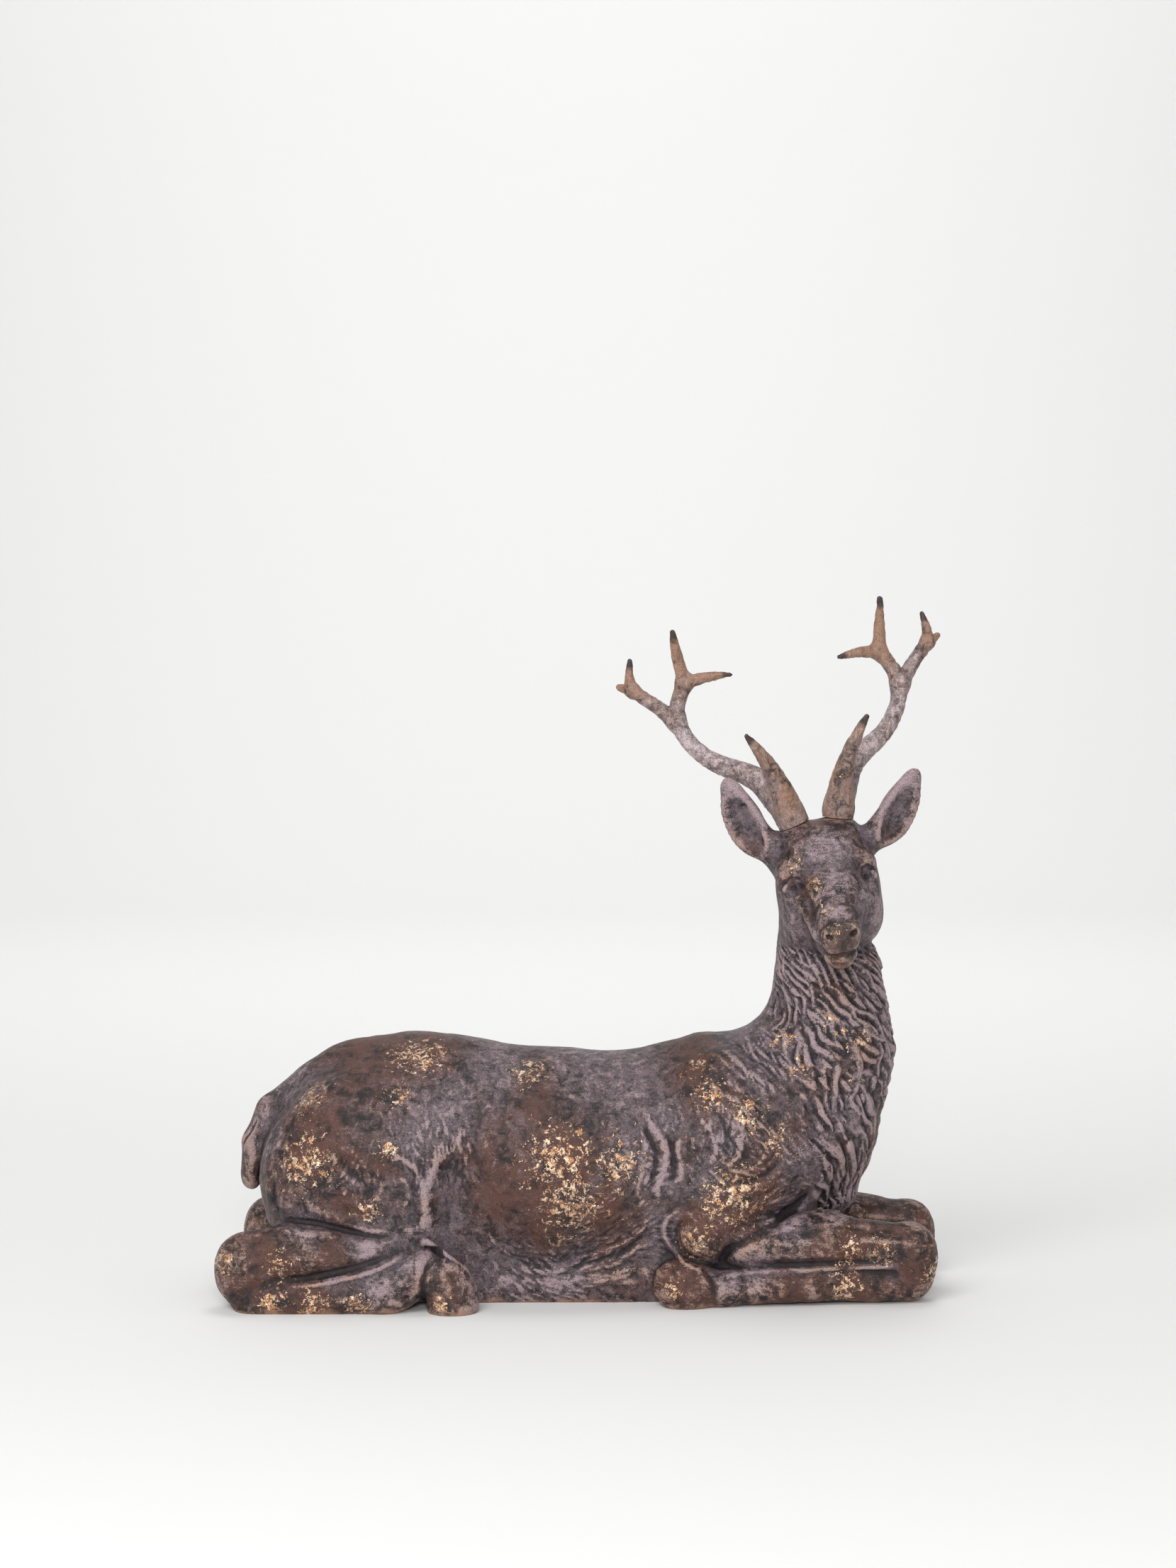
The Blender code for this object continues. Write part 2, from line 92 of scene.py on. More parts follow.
def sweep_profile():
    """Points (y, z) along the paper: flat, then a quarter bend, then straight up."""
    bend = [(SWEEP_BACK + SWEEP_BEND * math.sin(turn), SWEEP_BEND * (1.0 - math.cos(turn)))
            for turn in np.linspace(0.0, math.pi / 2, SWEEP_STEPS)]
    return [(SWEEP_FRONT, 0.0)] + bend + [(SWEEP_BACK + SWEEP_BEND, SWEEP_TOP)]


def paper_sweep():
    profile = sweep_profile()
    points = [(side, y, z) for y, z in profile for side in (-SWEEP_HALF_WIDTH, SWEEP_HALF_WIDTH)]
    faces = [(2 * i, 2 * i + 1, 2 * i + 3, 2 * i + 2) for i in range(len(profile) - 1)]
    mesh = bpy.data.meshes.new("paper_sweep")
    mesh.from_pydata(points, [], faces)
    mesh.shade_smooth()
    paper = bpy.data.objects.new("paper_sweep", mesh)
    bpy.context.scene.collection.objects.link(paper)
    return paper


paper = paper_sweep()
print("sweep faces:", len(paper.data.polygons))

# %% [markdown]
# ## The light
# A wide key lamp above and in front on the left makes the soft highlights on barrel and shoulder. A
# small one in front lights the face, one on top edges the back, and one lights the backdrop alone;
# a pale world does the rest. Area lamps are used because their size sets how soft a shadow is; a
# sun or a spot would draw hard edges.

# %% Hang the lamps
LOOK_AT = Vector((0.0, 0.0, 0.12))
# Each lamp: where it hangs, what it is aimed at, its watts and its width
LAMPS = {
    "key": ((-0.50, -1.25, 1.25), LOOK_AT, 15.0, 0.9),
    "front": ((0.02, -1.6, 0.62), LOOK_AT, 9.0, 0.3),
    "top": ((0.1, 0.25, 1.5), LOOK_AT, 4.5, 0.6),
    "backdrop": ((0.0, 1.2, 1.6), (0.0, 2.5, 0.5), 16.5, 1.8),
}
WORLD_STRENGTH = 0.37


def hang_lamp(name, place, aim, watts, width):
    lamp = bpy.data.lights.new(name, "AREA")
    lamp.energy = watts
    lamp.size = width
    holder = bpy.data.objects.new(name, lamp)
    holder.location = place
    holder.rotation_euler = (Vector(aim) - Vector(place)).to_track_quat("-Z", "Y").to_euler()
    bpy.context.scene.collection.objects.link(holder)


for name, (place, aim, watts, width) in LAMPS.items():
    hang_lamp(name, place, aim, watts, width)
world = bpy.data.worlds.new("studio")
world.use_nodes = True
world.node_tree.nodes["Background"].inputs["Color"].default_value = (1.0, 1.0, 1.0, 1.0)
world.node_tree.nodes["Background"].inputs["Strength"].default_value = WORLD_STRENGTH
bpy.context.scene.world = world
bpy.context.scene.view_settings.view_transform = "Standard"
print("lamps:", ", ".join(LAMPS))

# %% [markdown]
# ## Clay: balls and rolls that run together
# A sculptor builds a figure from lumps of clay and smooths the joints. The same can be done in code
# with distance fields: each lump knows how far any point is from its surface, and two such distances
# are blended into one, which fills the joint between them. Sculpting by hand or subdividing a cage
# would also give a stag, but a list of named lumps can be read and changed. Sizes are in sculptor's
# units, which are millimetres on a figure 305 long.

# %% A ball of clay
FIGURE_LENGTH = 0.305
SCULPT_LENGTH = 305.0
UNIT = FIGURE_LENGTH / SCULPT_LENGTH


def size_of(matrix):
    """How many times larger an even scaling makes things."""
    return abs(matrix.to_3x3().determinant()) ** (1 / 3)


class Ball:
    """An ellipsoid of clay, or a hollow of that shape where carve is set."""

    def __init__(self, centre, radii, turn=(0, 0, 0), blend=6.0, carve=False):
        self.radii = np.array(radii, float)
        self.matrix = Matrix.Translation(centre) @ Euler(np.radians(turn)).to_matrix().to_4x4()
        self.blend = blend
        self.carve = carve

    def placed(self, matrix):
        size = size_of(matrix)
        copy = Ball((0, 0, 0), self.radii * size, blend=self.blend * size, carve=self.carve)
        copy.matrix = matrix @ self.matrix @ Matrix.Scale(1.0 / size, 4)
        return copy

    def distance(self, points):
        turned = np.array(self.matrix)
        local = (points - turned[:3, 3]) @ turned[:3, :3]
        near = np.linalg.norm(local / self.radii, axis=1)
        steep = np.linalg.norm(local / self.radii**2, axis=1)
        return near * (near - 1.0) / np.maximum(steep, 1e-9)

    def ball_around(self):
        return self.matrix.translation, self.radii.max()

    def girth(self):
        return self.radii.min()

    def rough(self, clay):
        stretch = Matrix.Diagonal((*self.radii, 1.0))
        bmesh.ops.create_icosphere(clay, subdivisions=3, radius=1.0, matrix=self.matrix @ stretch)


test_point = np.array([[0.0, 0.0, 5.0]])
print("from a ball of radius 4 to a point 5 up:", Ball((0, 0, 0), (4, 4, 4)).distance(test_point)[0])

# %% [markdown]
# A leg, a neck or an antler is long, so it is laid as rolls: a line with a thickness at each end, and
# everything within that thickness is clay. A ball could be stretched to that length, but it would
# taper at both ends. A roll's section can be widened too, for a flat tail or a broad belly.

# %% A tapered roll of clay
class Limb:
    """A tapered round-ended roll; wide stretches its section along the direction across."""

    def __init__(self, start, end, thick, thin, blend=6.0, carve=False, wide=1.0, across=(0, 1, 0)):
        self.start, self.end = Vector(start), Vector(end)
        self.thick, self.thin = thick, thin
        self.blend = blend
        self.carve = carve
        self.wide = wide
        self.across = Vector(across).normalized()

    def placed(self, matrix):
        size = size_of(matrix)
        ends = matrix @ self.start, matrix @ self.end
        across = matrix.to_3x3() @ self.across
        return Limb(*ends, self.thick * size, self.thin * size, self.blend * size, self.carve,
                    self.wide, across)

    def distance(self, points):
        along = np.array(self.end - self.start)
        from_start = points - np.array(self.start)
        share = np.clip(from_start @ along / (along @ along), 0.0, 1.0)
        offset = from_start - share[:, None] * along
        across = np.array(self.across)
        offset -= (1.0 - 1.0 / self.wide) * (offset @ across)[:, None] * across
        return np.linalg.norm(offset, axis=1) - (self.thick + share * (self.thin - self.thick))

    def ball_around(self):
        half = (self.end - self.start).length / 2
        return (self.start + self.end) / 2, half + max(self.thick, self.thin) * self.wide

    def girth(self):
        return max(self.thick, self.thin)

    def rough(self, clay):
        along = self.end - self.start
        aim = along.to_track_quat("Z", "Y").to_matrix().to_4x4()
        middle = Matrix.Translation((self.start + self.end) / 2) @ aim
        bmesh.ops.create_cone(clay, cap_ends=True, segments=16, radius1=self.thick,
                              radius2=self.thin, depth=along.length, matrix=middle)
        for centre, radius in ((self.start, self.thick), (self.end, self.thin)):
            bmesh.ops.create_icosphere(clay, subdivisions=2, radius=radius,
                                       matrix=Matrix.Translation(centre))


print("from a roll of radius 2 to the same point:", Limb((0, 0, 0), (9, 0, 0), 2, 2).distance(test_point)[0])

# %% [markdown]
# The antlers stand in round seats that are cut square into the skull. A ball would leave a hollow
# with a round floor, so this cutter is a flat-ended disc, and it always takes clay away.

# %% A flat-ended cutter for the antlers' seats
class Disc:
    """A round flat-ended hollow, standing on its own frame's XY plane."""

    def __init__(self, matrix, radius, height, blend):
        self.matrix = matrix
        self.radius, self.height = radius, height
        self.blend = blend
        self.carve = True

    def distance(self, points):
        turned = np.array(self.matrix)
        local = (points - turned[:3, 3]) @ turned[:3, :3]
        side = np.hypot(local[:, 0], local[:, 1]) - self.radius
        return np.maximum(side, np.maximum(-local[:, 2], local[:, 2] - self.height))

    def ball_around(self):
        return self.matrix.translation, self.radius + self.height


print("from a disc 3 high to the same point:", Disc(Matrix(), 6, 3, 1).distance(test_point)[0])

# %% [markdown]
# Now the lumps can be moved, mirrored and run together. Two surfaces that are closer than their blend
# get a fillet that fills the corner between them. A plain boolean would leave the sharp creases of
# stacked shapes, and joined meshes would lie inside each other.

# %% Move, mirror and blend the lumps
FAR = 24.0  # the distance given to a point that no lump is near
NEAR = 6.0  # how far outside a lump its distance is still worked out


def placed(masses, matrix):
    return [mass.placed(matrix) for mass in masses]


def aimed(origin, along, front):
    """A frame at origin with Z the way of along, and -Y as near to the way of front as that allows."""
    up = Vector(along).normalized()
    back = -Vector(front)
    back = (back - up * back.dot(up)).normalized()
    turn = Matrix((back.cross(up), back, up)).transposed()
    return Matrix.Translation(origin) @ turn.to_4x4()


def both_sides(masses, axis):
    """The masses and their mirror images across the plane through the origin normal to axis."""
    flip = Matrix.Scale(-1.0, 4, axis)
    return [copy for mass in masses for copy in (mass, mass.placed(flip))]


def rolls_along(run, radius, blend, carve=False, thin=None):
    """A chain of rolls through the run's points, thinning to thin at its end."""
    sizes = np.linspace(radius, radius if thin is None else thin, len(run))
    pairs = zip(run, run[1:], sizes, sizes[1:])
    return [Limb(a, b, thick, slim, blend, carve) for a, b, thick, slim in pairs]


def eased(share):
    share = np.clip(share, 0.0, 1.0)
    return share * share * (3.0 - 2.0 * share)


def smooth_run(run, steps=4):
    """The run with more points, on a smooth curve through all of its own."""
    run = np.array(run, float)
    before = np.vstack([2 * run[0] - run[1], run, 2 * run[-1] - run[-2]])
    share = np.linspace(0.0, 1.0, steps, endpoint=False)[:, None]
    spots = []
    for a, b, c, d in zip(before, before[1:], before[2:], before[3:]):
        spots.append(0.5 * (2 * b + (c - a) * share + (2 * a - 5 * b + 4 * c - d) * share**2
                            + (3 * b - a - 3 * c + d) * share**3))
    return np.vstack(spots + [run[-1:]])


def blended_distance(points, masses):
    """Distance from the clay's surface, each mass run into those before it over its own blend.

    A mass is left out where it is further than its blend and NEAR, so this holds near the surface.
    """
    total = np.full(len(points), FAR)
    for mass in masses:
        middle, radius = mass.ball_around()
        felt = radius + mass.blend + NEAR
        near = np.flatnonzero(((points - np.array(middle)) ** 2).sum(axis=1) < felt**2)
        sofar = total[near]
        own = mass.distance(points[near])
        apart = sofar + own if mass.carve else sofar - own
        fillet = np.maximum(mass.blend - np.abs(apart), 0.0) ** 2 / (4.0 * mass.blend)
        total[near] = np.maximum(sofar, -own) + fillet if mass.carve else np.minimum(sofar, own) - fillet
    return total


two_balls = [Ball((-3, 0, 0), (3, 3, 3)), Ball((3, 0, 0), (3, 3, 3), blend=4)]
print("two balls that touch fill the joint by:", -blended_distance(np.zeros((1, 3)), two_balls)[0])

# %% [markdown]
# ## The lumps of the body
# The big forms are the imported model's own: the barrel low on the ground, the loins and the rump. A
# lying deer is broadest at the belly, so a wide roll along the ground carries the balls above it.
# One long ball would be quicker, but back, loin and rump would then have no line of their own.

# %% Barrel, back and rump
LEFT_LEGS_LEAD = 4.0


def torso():
    return [
        Ball((-17.5, 0, 54), (76.5, 46, 48)),
        Ball((43, 0, 52.5), (52.5, 39, 49.5), blend=16),
        Ball((-72.5, 0, 61), (51.5, 40, 48), (0, -6, 0), blend=18),
        Limb((-67.5, 0, 86), (5.5, 0, 78), 11, 11.5, blend=16),
        Limb((12, 0, 76), (51, 0, 87.5), 9.5, 20, blend=16),
        Ball((-104, 0, 63), (33, 24, 40), (0, 24, 0), blend=14),
        Limb((-104, 0, 9), (88, 0, 9), 25, 23, blend=12, wide=1.35),
        Ball((-55, 0, 40), (12, 58, 26), (0, 8, 0), blend=12, carve=True),
        Ball((-55, 0, 44), (40, 41, 44), blend=10),
    ]


print("lumps of the trunk:", len(torso()))

# %% [markdown]
# ## Folded legs
# The legs of a lying stag fold like a rule: thigh, shank and cannon lie along each other, and so do
# arm, forearm and fore cannon. One hind leg and one foreleg are laid on the right side; the left
# ones are their mirror images, moved a little forward, so that both pairs stay alike.

# %% Folded legs
def hind_leg():
    """Thigh, stifle, gaskin folded back to the hock, and the cannon and hoof below it."""
    return [
        Ball((-91, -24, 56), (41, 25, 38), (0, 18, 6), blend=12),
        Ball((-113, -20, 46), (23, 21, 28), (0, -8, 0), blend=10),
        Ball((-72, -31, 42), (13, 15, 23), (0, 12, 0), blend=8),
        Limb((-140, -41, 20.5), (-116, -41.5, 23.2), 11.2, 11.8, blend=4),
        Limb((-116, -41.5, 23.2), (-90, -41, 22.5), 11.8, 9.8, blend=5),
        Limb((-92, -41, 23), (-68, -39, 37), 9.5, 7, blend=5),
        Ball((-141.5, -42, 15), (12.6, 11.5, 15), (0, -14, 0), blend=4),
        Limb((-137, -44, 3), (-84, -45, 9.5), 9.0, 11.5, blend=3),
        Limb((-84, -45, 9.5), (-69, -46, 15.5), 11.2, 10.2, blend=4),
        Limb((-128, -33, 7), (-62, -35, 8), 7, 7, blend=3),
        Ball((-57.5, -47.6, 9.5), (10.5, 9.2, 13.8), (0, -26, 0), blend=2.2),
        Ball((-55.5, -47.8, 2.5), (10.6, 9.2, 7.5), blend=2),
    ]


def fore_leg():
    """Shoulder and upper arm, forearm to the knee, and the cannon and hoof folded under it."""
    return [
        Ball((54, -20, 68), (28, 20, 37), (0, 22, 0), blend=10),
        Ball((66, -23, 58), (20, 18, 21), (0, 36, 0), blend=8),
        Limb((66, -27, 50), (49, -32, 34), 15, 12.6, blend=5),
        Ball((47, -33.5, 31), (11.5, 12.5, 14), (0, -16, 0), blend=5),
        Limb((66, -31, 25.5), (100, -29, 26), 10.8, 11.2, blend=3.5),
        Limb((100, -29, 26), (133.5, -26.5, 20.5), 11.2, 11, blend=3.5),
        Ball((134.5, -26.5, 17), (11, 11.2, 15.8), blend=4),
        Limb((134.5, -27.5, 8.2), (92, -31.5, 8), 8.0, 7.4, blend=2, wide=1.15),
        Limb((92, -31.5, 8), (55, -36, 6.8), 7.4, 6.6, blend=2, wide=1.2),
        Limb((58, -36, 6.8), (46, -37.5, 8.4), 6.8, 8.2, blend=3),
        Ball((39.5, -38, 8.6), (12.6, 9, 11.4), (0, 12, 0), blend=3.5),
    ]


print("lumps of a hind leg and of a foreleg:", len(hind_leg()), len(fore_leg()))

# %% [markdown]
# ## Neck, beard and tail
# The neck rises almost straight from the chest, and the tail hangs flat against the rump. Each is a
# few rolls, thickest where it joins the body. The tail's parting is pressed in down each side by
# thin carving rolls, much as a wire tool would mark it; a seam in the mesh would be too sharp.

# %% Neck, beard and tail
def neck():
    return [
        Ball((87.5, 0, 73.5), (36, 33.5, 36.5), (0, 8, 0), blend=16),
        Limb((102, 0, 103.5), (102.5, 1, 132), 27.5, 22, blend=14),
        Limb((99.5, 1, 120), (97.6, -1, 153), 17, 14.8, blend=12),
        Limb((98.6, -1, 148.5), (98.0, -2, 172), 15.0, 15.6, blend=8),
        Limb((64.5, 0, 85), (92, 0, 119), 18, 4, blend=12),
        Limb((101, -2, 60), (105.5, -5, 42), 11, 6.5, blend=10),
    ]


def tail():
    """A short flat tail that hangs clear of the rump at its tip, with a parting down each side."""
    line = [(-139, 6.4, 72), (-146, 6.8, 62), (-146.6, 6.0, 50)]
    parting = both_sides(rolls_along(line, 0.7, 0.8, carve=True), (0, 1, 0))
    return [
        Limb((-118, 0, 84), (-133, 0, 75.5), 7.5, 7.0, blend=6, wide=1.2),
        Limb((-133, 0, 75.5), (-140.8, 0, 62.5), 6.6, 5.6, blend=3, wide=1.5),
        Limb((-140.8, 0, 62.5), (-142.2, 0, 50), 5.4, 4.6, blend=2, wide=1.8),
        Ball((-142.2, 0, 47), (4.2, 8.2, 4.8), (0, -6, 0), blend=1.5),
    ] + parting


print("lumps of the neck and of the tail:", len(neck()), len(tail()))

# %% [markdown]
# ## The head
# The head is built facing straight ahead in a frame of its own and turned later, so that its two
# sides can mirror each other. The brow is broad, the cheeks deep and the muzzle narrow, and the
# muzzle's own side, which the picture shows, has a groove and a ridge down to the nostril. Turning
# the parts first would leave nothing to mirror them by.

# %% Skull, muzzle and cheeks
HEAD_PLACE = (99.8, -8.0, 175.0)
HEAD_YAW = math.radians(3.5)
HEAD_ROLL = math.radians(-9.0)
SEAT_CENTRE = (9.4, 4.0, 23.6)
SEAT_AXIS = (0.25, 0.0, 1.0)
EYE_CENTRE = (16.2, -10.7, -0.8)
EYE_RADII = (3.5, 3.3, 3.0)


def skull():
    middle = [
        Ball((0, 3, 6.5), (19.5, 18, 18), blend=8),
        Ball((0, -4, 7), (17.5, 12.5, 14), blend=6),
        Limb((0, -7, -3), (-2.0, -34, -17.8), 14.6, 9.4, blend=7),
        Ball((-0.4, -17, -6.5), (13.4, 12.0, 9.5), (-24, 0, 0), blend=7),
        Limb((0, -3, -18), (-3, -35, -28.4), 12.5, 5.4, blend=5),
        Ball((-2.3, -40.5, -20.4), (7.8, 6.6, 6.2), blend=2.0),
        Ball((-3.2, -36, -29.0), (5.4, 5.0, 4.2), blend=2.0),
    ]
    pairs = both_sides([
        Ball((13.8, -8.6, 5.4), (6.4, 5.4, 3.4), (0, 8, 22), blend=7),
        Ball((12.4, -3, -12), (8.9, 15.5, 13.2), (8, 0, 6), blend=6),
        Ball((12.6, -3.5, -3), (8.0, 11.5, 9.5), blend=5),
        Ball((11, -2, -20), (7.6, 10, 8), blend=6),
        Limb((SEAT_CENTRE[0] - 2, 4, 8), (SEAT_CENTRE[0], 4, 17.4), 9, 7.6, blend=6),
        Ball((17.2, -16.0, -0.4), (3.6, 2.7, 2.8), blend=3, carve=True),
        Ball(EYE_CENTRE, EYE_RADII, blend=0.6),
    ], (1, 0, 0))
    groove_line = [(-14.4, -19.0, 1.6), (-13.0, -26.5, -7.0), (-12.6, -34, -16)]
    groove = rolls_along(groove_line, 2.0, 4, carve=True, thin=1.2)
    ridge = [Limb((-13.2, -19.0, -7), (-11.0, -31.4, -19), 1.2, 1.0, blend=4.5)]
    return middle + pairs + groove + ridge


print("lumps of the skull:", len(skull()))

# %% [markdown]
# ## Eyes, nose and mouth
# The eye is a ball set almost flush, and its lids are thin rolls whose depth is worked out from that
# ball, so that they lie on it. Nostrils, lips and the edges of the nose pad are rolls too, pressed in
# where they are creases. Sculpting them by hand would leave them in the air when the skull changes.

# %% Eyelids
def on_eye(x, z):
    """The point of the eyeball's front at (x, z)."""
    beside = ((x - EYE_CENTRE[0]) / EYE_RADII[0]) ** 2 + ((z - EYE_CENTRE[2]) / EYE_RADII[2]) ** 2
    return (x, EYE_CENTRE[1] - EYE_RADII[1] * math.sqrt(max(1.0 - beside, 0.05)), z)


UPPER_LID = [(13.2, 0.2), (14.4, 1.5), (16.2, 2.0), (18.0, 1.2), (19.2, -0.6)]
LOWER_LID = [(13.2, 0.2), (13.8, -2.0), (15.2, -3.2), (17.2, -3.2), (19.2, -1.0)]
PUPIL = (16.0, -0.5)


def eyelids():
    upper = rolls_along([on_eye(*spot) for spot in UPPER_LID], 0.95, 0.6)
    lower = rolls_along([on_eye(*spot) for spot in LOWER_LID], 0.9, 0.5)
    over = rolls_along([(13.0, -15.6, 3.4), (16.2, -14.8, 3.6), (19.2, -12.0, 2.0)], 0.6, 1.0, carve=True)
    corner = [Limb((12.8, -15.4, 0.2), (11.6, -17.0, -1.2), 0.6, 0.4, blend=0.8, carve=True)]
    pupil = [Ball(on_eye(*PUPIL), (1.8, 1.1, 1.4), blend=0.4, carve=True)]
    return both_sides(upper + lower + over + corner + pupil, (1, 0, 0))


print("rolls of the eyelids:", len(eyelids()))

# %% Nose pad, nostrils and lips
MOUTH_LINE = [(-13.6, -30, -25.6), (-10.8, -38.0, -27.0), (-6.6, -43.2, -26.9),
              (1.6, -43.2, -26.8), (5.6, -38.0, -26.6), (9.4, -30, -25.0)]


def nose_and_mouth():
    pad = [Limb((-6.6, -43.2, -18.6), (2.0, -43.2, -18.4), 3.5, 3.4, blend=2.2),
           Limb((-5.6, -42.8, -22.8), (1.0, -42.8, -22.6), 3.6, 3.5, blend=2.2)]
    rims = rolls_along([(-9.6, -43.6, -17.4), (-10.6, -42.6, -20.6), (-8.8, -43.0, -24.6)],
                       0.6, 0.6, carve=True)
    rims += rolls_along([(5.0, -43.4, -17.2), (6.0, -42.4, -20.4), (4.2, -43.0, -24.4)],
                        0.6, 0.6, carve=True)
    nostrils = [Ball((-7.4, -46.4, -19.0), (1.8, 2.2, 1.0), (0, 24, 0), 0.8, True),
                Ball((2.8, -46.4, -18.8), (1.8, 2.2, 1.0), (0, -24, 0), 0.8, True)]
    parting = [Limb((-2.4, -47.0, -22.0), (-2.6, -45.6, -26.2), 0.5, 0.6, blend=0.6, carve=True)]
    mouth = rolls_along(MOUTH_LINE, 0.7, 0.8, carve=True)
    lip = rolls_along([(-7.8, -36.8, -28.4), (-3.0, -40.2, -28.8), (2.2, -36.8, -28.2)], 1.6, 1.8)
    return pad + rims + nostrils + parting + mouth + lip


print("lumps of nose and mouth:", len(nose_and_mouth()))

# %% [markdown]
# ## Ears
# A deer's ear is a leaf with a hollow front and a rolled rim. It is laid once, standing straight up,
# and then stretched and turned from its root to its tip, since the two ears are held differently. A
# bent and thickened plane would do for the leaf, but its rim would not run into the skull.

# %% Cupped ears with rolled rims
EAR_LENGTH = 37.0
EAR_RIMS = (
    [(-1.0, -0.6, 7), (-2.6, -1.2, 13), (-3.0, -1.2, 20), (-2.2, -0.8, 28), (-0.2, -0.4, 35.0)],
    [(8.4, -0.8, 6), (10.4, -1.2, 12), (9.8, -1.2, 20), (6.8, -0.8, 28), (0.4, -0.4, 35.0)],
)


def ear(root, tip, facing, side):
    """A leaf-shaped ear from root to tip, hollowed on the side that faces the given way."""
    leaf = [
        Limb((0.5, 3, -3), (3, 1.5, 8), 6.0, 6.2, blend=5),
        Ball((3.7, 0.8, 16.5), (7.7, 4.4, 13.5), (0, -12, 0), blend=4),
        Ball((1.6, 0, 26.5), (5.2, 2.8, 10.5), (0, -10, 0), blend=3),
        Ball((3.4, -4.6, 17), (5.8, 4.4, 14.5), (0, -10, 0), blend=1.5, carve=True),
    ]
    for rim in EAR_RIMS:
        leaf += rolls_along(smooth_run(rim, 3), 1.15, 0.8, thin=0.95)
    leaf += rolls_along([(0.8, 0.4, 5), (-0.4, 0.4, 16), (-0.8, 0.2, 27)], 0.9, 0.8, carve=True)
    leaf += rolls_along([(5.6, -0.4, 6), (4.6, 0.2, 15), (2.6, 0.2, 25)], 0.9, 1.2, thin=0.6)
    stretch = (Vector(tip) - Vector(root)).length / EAR_LENGTH
    turned = aimed(root, Vector(tip) - Vector(root), facing)
    return placed(leaf, turned @ Matrix.Scale(stretch, 4) @ Matrix.Scale(side, 4, (1, 0, 0)))


def ears():
    return (ear((-18.5, 4, 13.5), (-35.4, 3, 48), (-0.3, -1, 0), -1)
            + ear((20, 4, 12), (46, 5, 38.8), (0.35, -1, 0), 1))


print("lumps of both ears:", len(ears()))

# %% [markdown]
# ## The head on the neck
# The stag looks to its right, with its head a little tipped. One matrix turns the finished head, so
# that skull, eyes and ears stay together, and the seats of the antlers are cut by the same matrix.
# Turning each lump by hand would work as well, until the pose changes.

# %% Turn the head on the neck, and cut the antlers' seats
ANTLER_BASE = 6.7  # radius of the antler where it stands in its seat
SEAT_CLEARANCE = 0.6


def head_frame():
    turn = Matrix.Rotation(HEAD_YAW, 4, "Z") @ Matrix.Rotation(HEAD_ROLL, 4, "Y")
    return Matrix.Translation(HEAD_PLACE) @ turn


def seat_frame(side):
    """A seat's frame, with Z square to the seat; side is 1 for the left antler."""
    centre = Vector((side * SEAT_CENTRE[0], *SEAT_CENTRE[1:]))
    axis = Vector((side * SEAT_AXIS[0], *SEAT_AXIS[1:]))
    return head_frame() @ aimed(centre, axis, (0, -1, 0))


def head():
    whole = skull() + eyelids() + nose_and_mouth() + ears()
    seats = [Disc(seat_frame(side), ANTLER_BASE + SEAT_CLEARANCE, ANTLER_BASE, blend=0.4)
             for side in (-1, 1)]
    return placed(whole, head_frame()) + seats


print("head at:", [round(value, 1) for value in head_frame().translation])

# %% [markdown]
# ## The whole figure in clay
# The order of the lumps matters, because each is blended into those before it: first the trunk, then
# the legs that lie on it, the neck, a fold of skin over each hind hoof, the head and the tail.

# %% Put the figure together
HOOF_FOLD = [(-67, -45.0, 28.6), (-61.5, -46.4, 27.0), (-56.2, -48.0, 21.8),
             (-51.0, -48.0, 17.0), (-46.4, -46.5, 9.5)]


def stag_clay():
    right_legs = hind_leg() + fore_leg()
    other_side = Matrix.Translation((LEFT_LEGS_LEAD, 0, 0)) @ Matrix.Scale(-1.0, 4, (0, 1, 0))
    trunk = torso() + right_legs + placed(right_legs, other_side) + neck()
    skin_folds = both_sides(rolls_along(HOOF_FOLD, 1.4, 1.6, thin=0.9), (0, 1, 0))
    return trunk + skin_folds + head() + tail()


clay_of_stag = stag_clay()
print("lumps and rolls of clay:", len(clay_of_stag))

# %% [markdown]
# ## Folds of the hide
# Folds are drawn as strokes on the side view, as a sculptor draws them with a thumb: each is a soft
# ridge or a soft groove that fades out at both ends. A point of the skin is lifted by how close it
# lies to a stroke, seen from the side. Rolls of clay laid on the body would look stuck on.

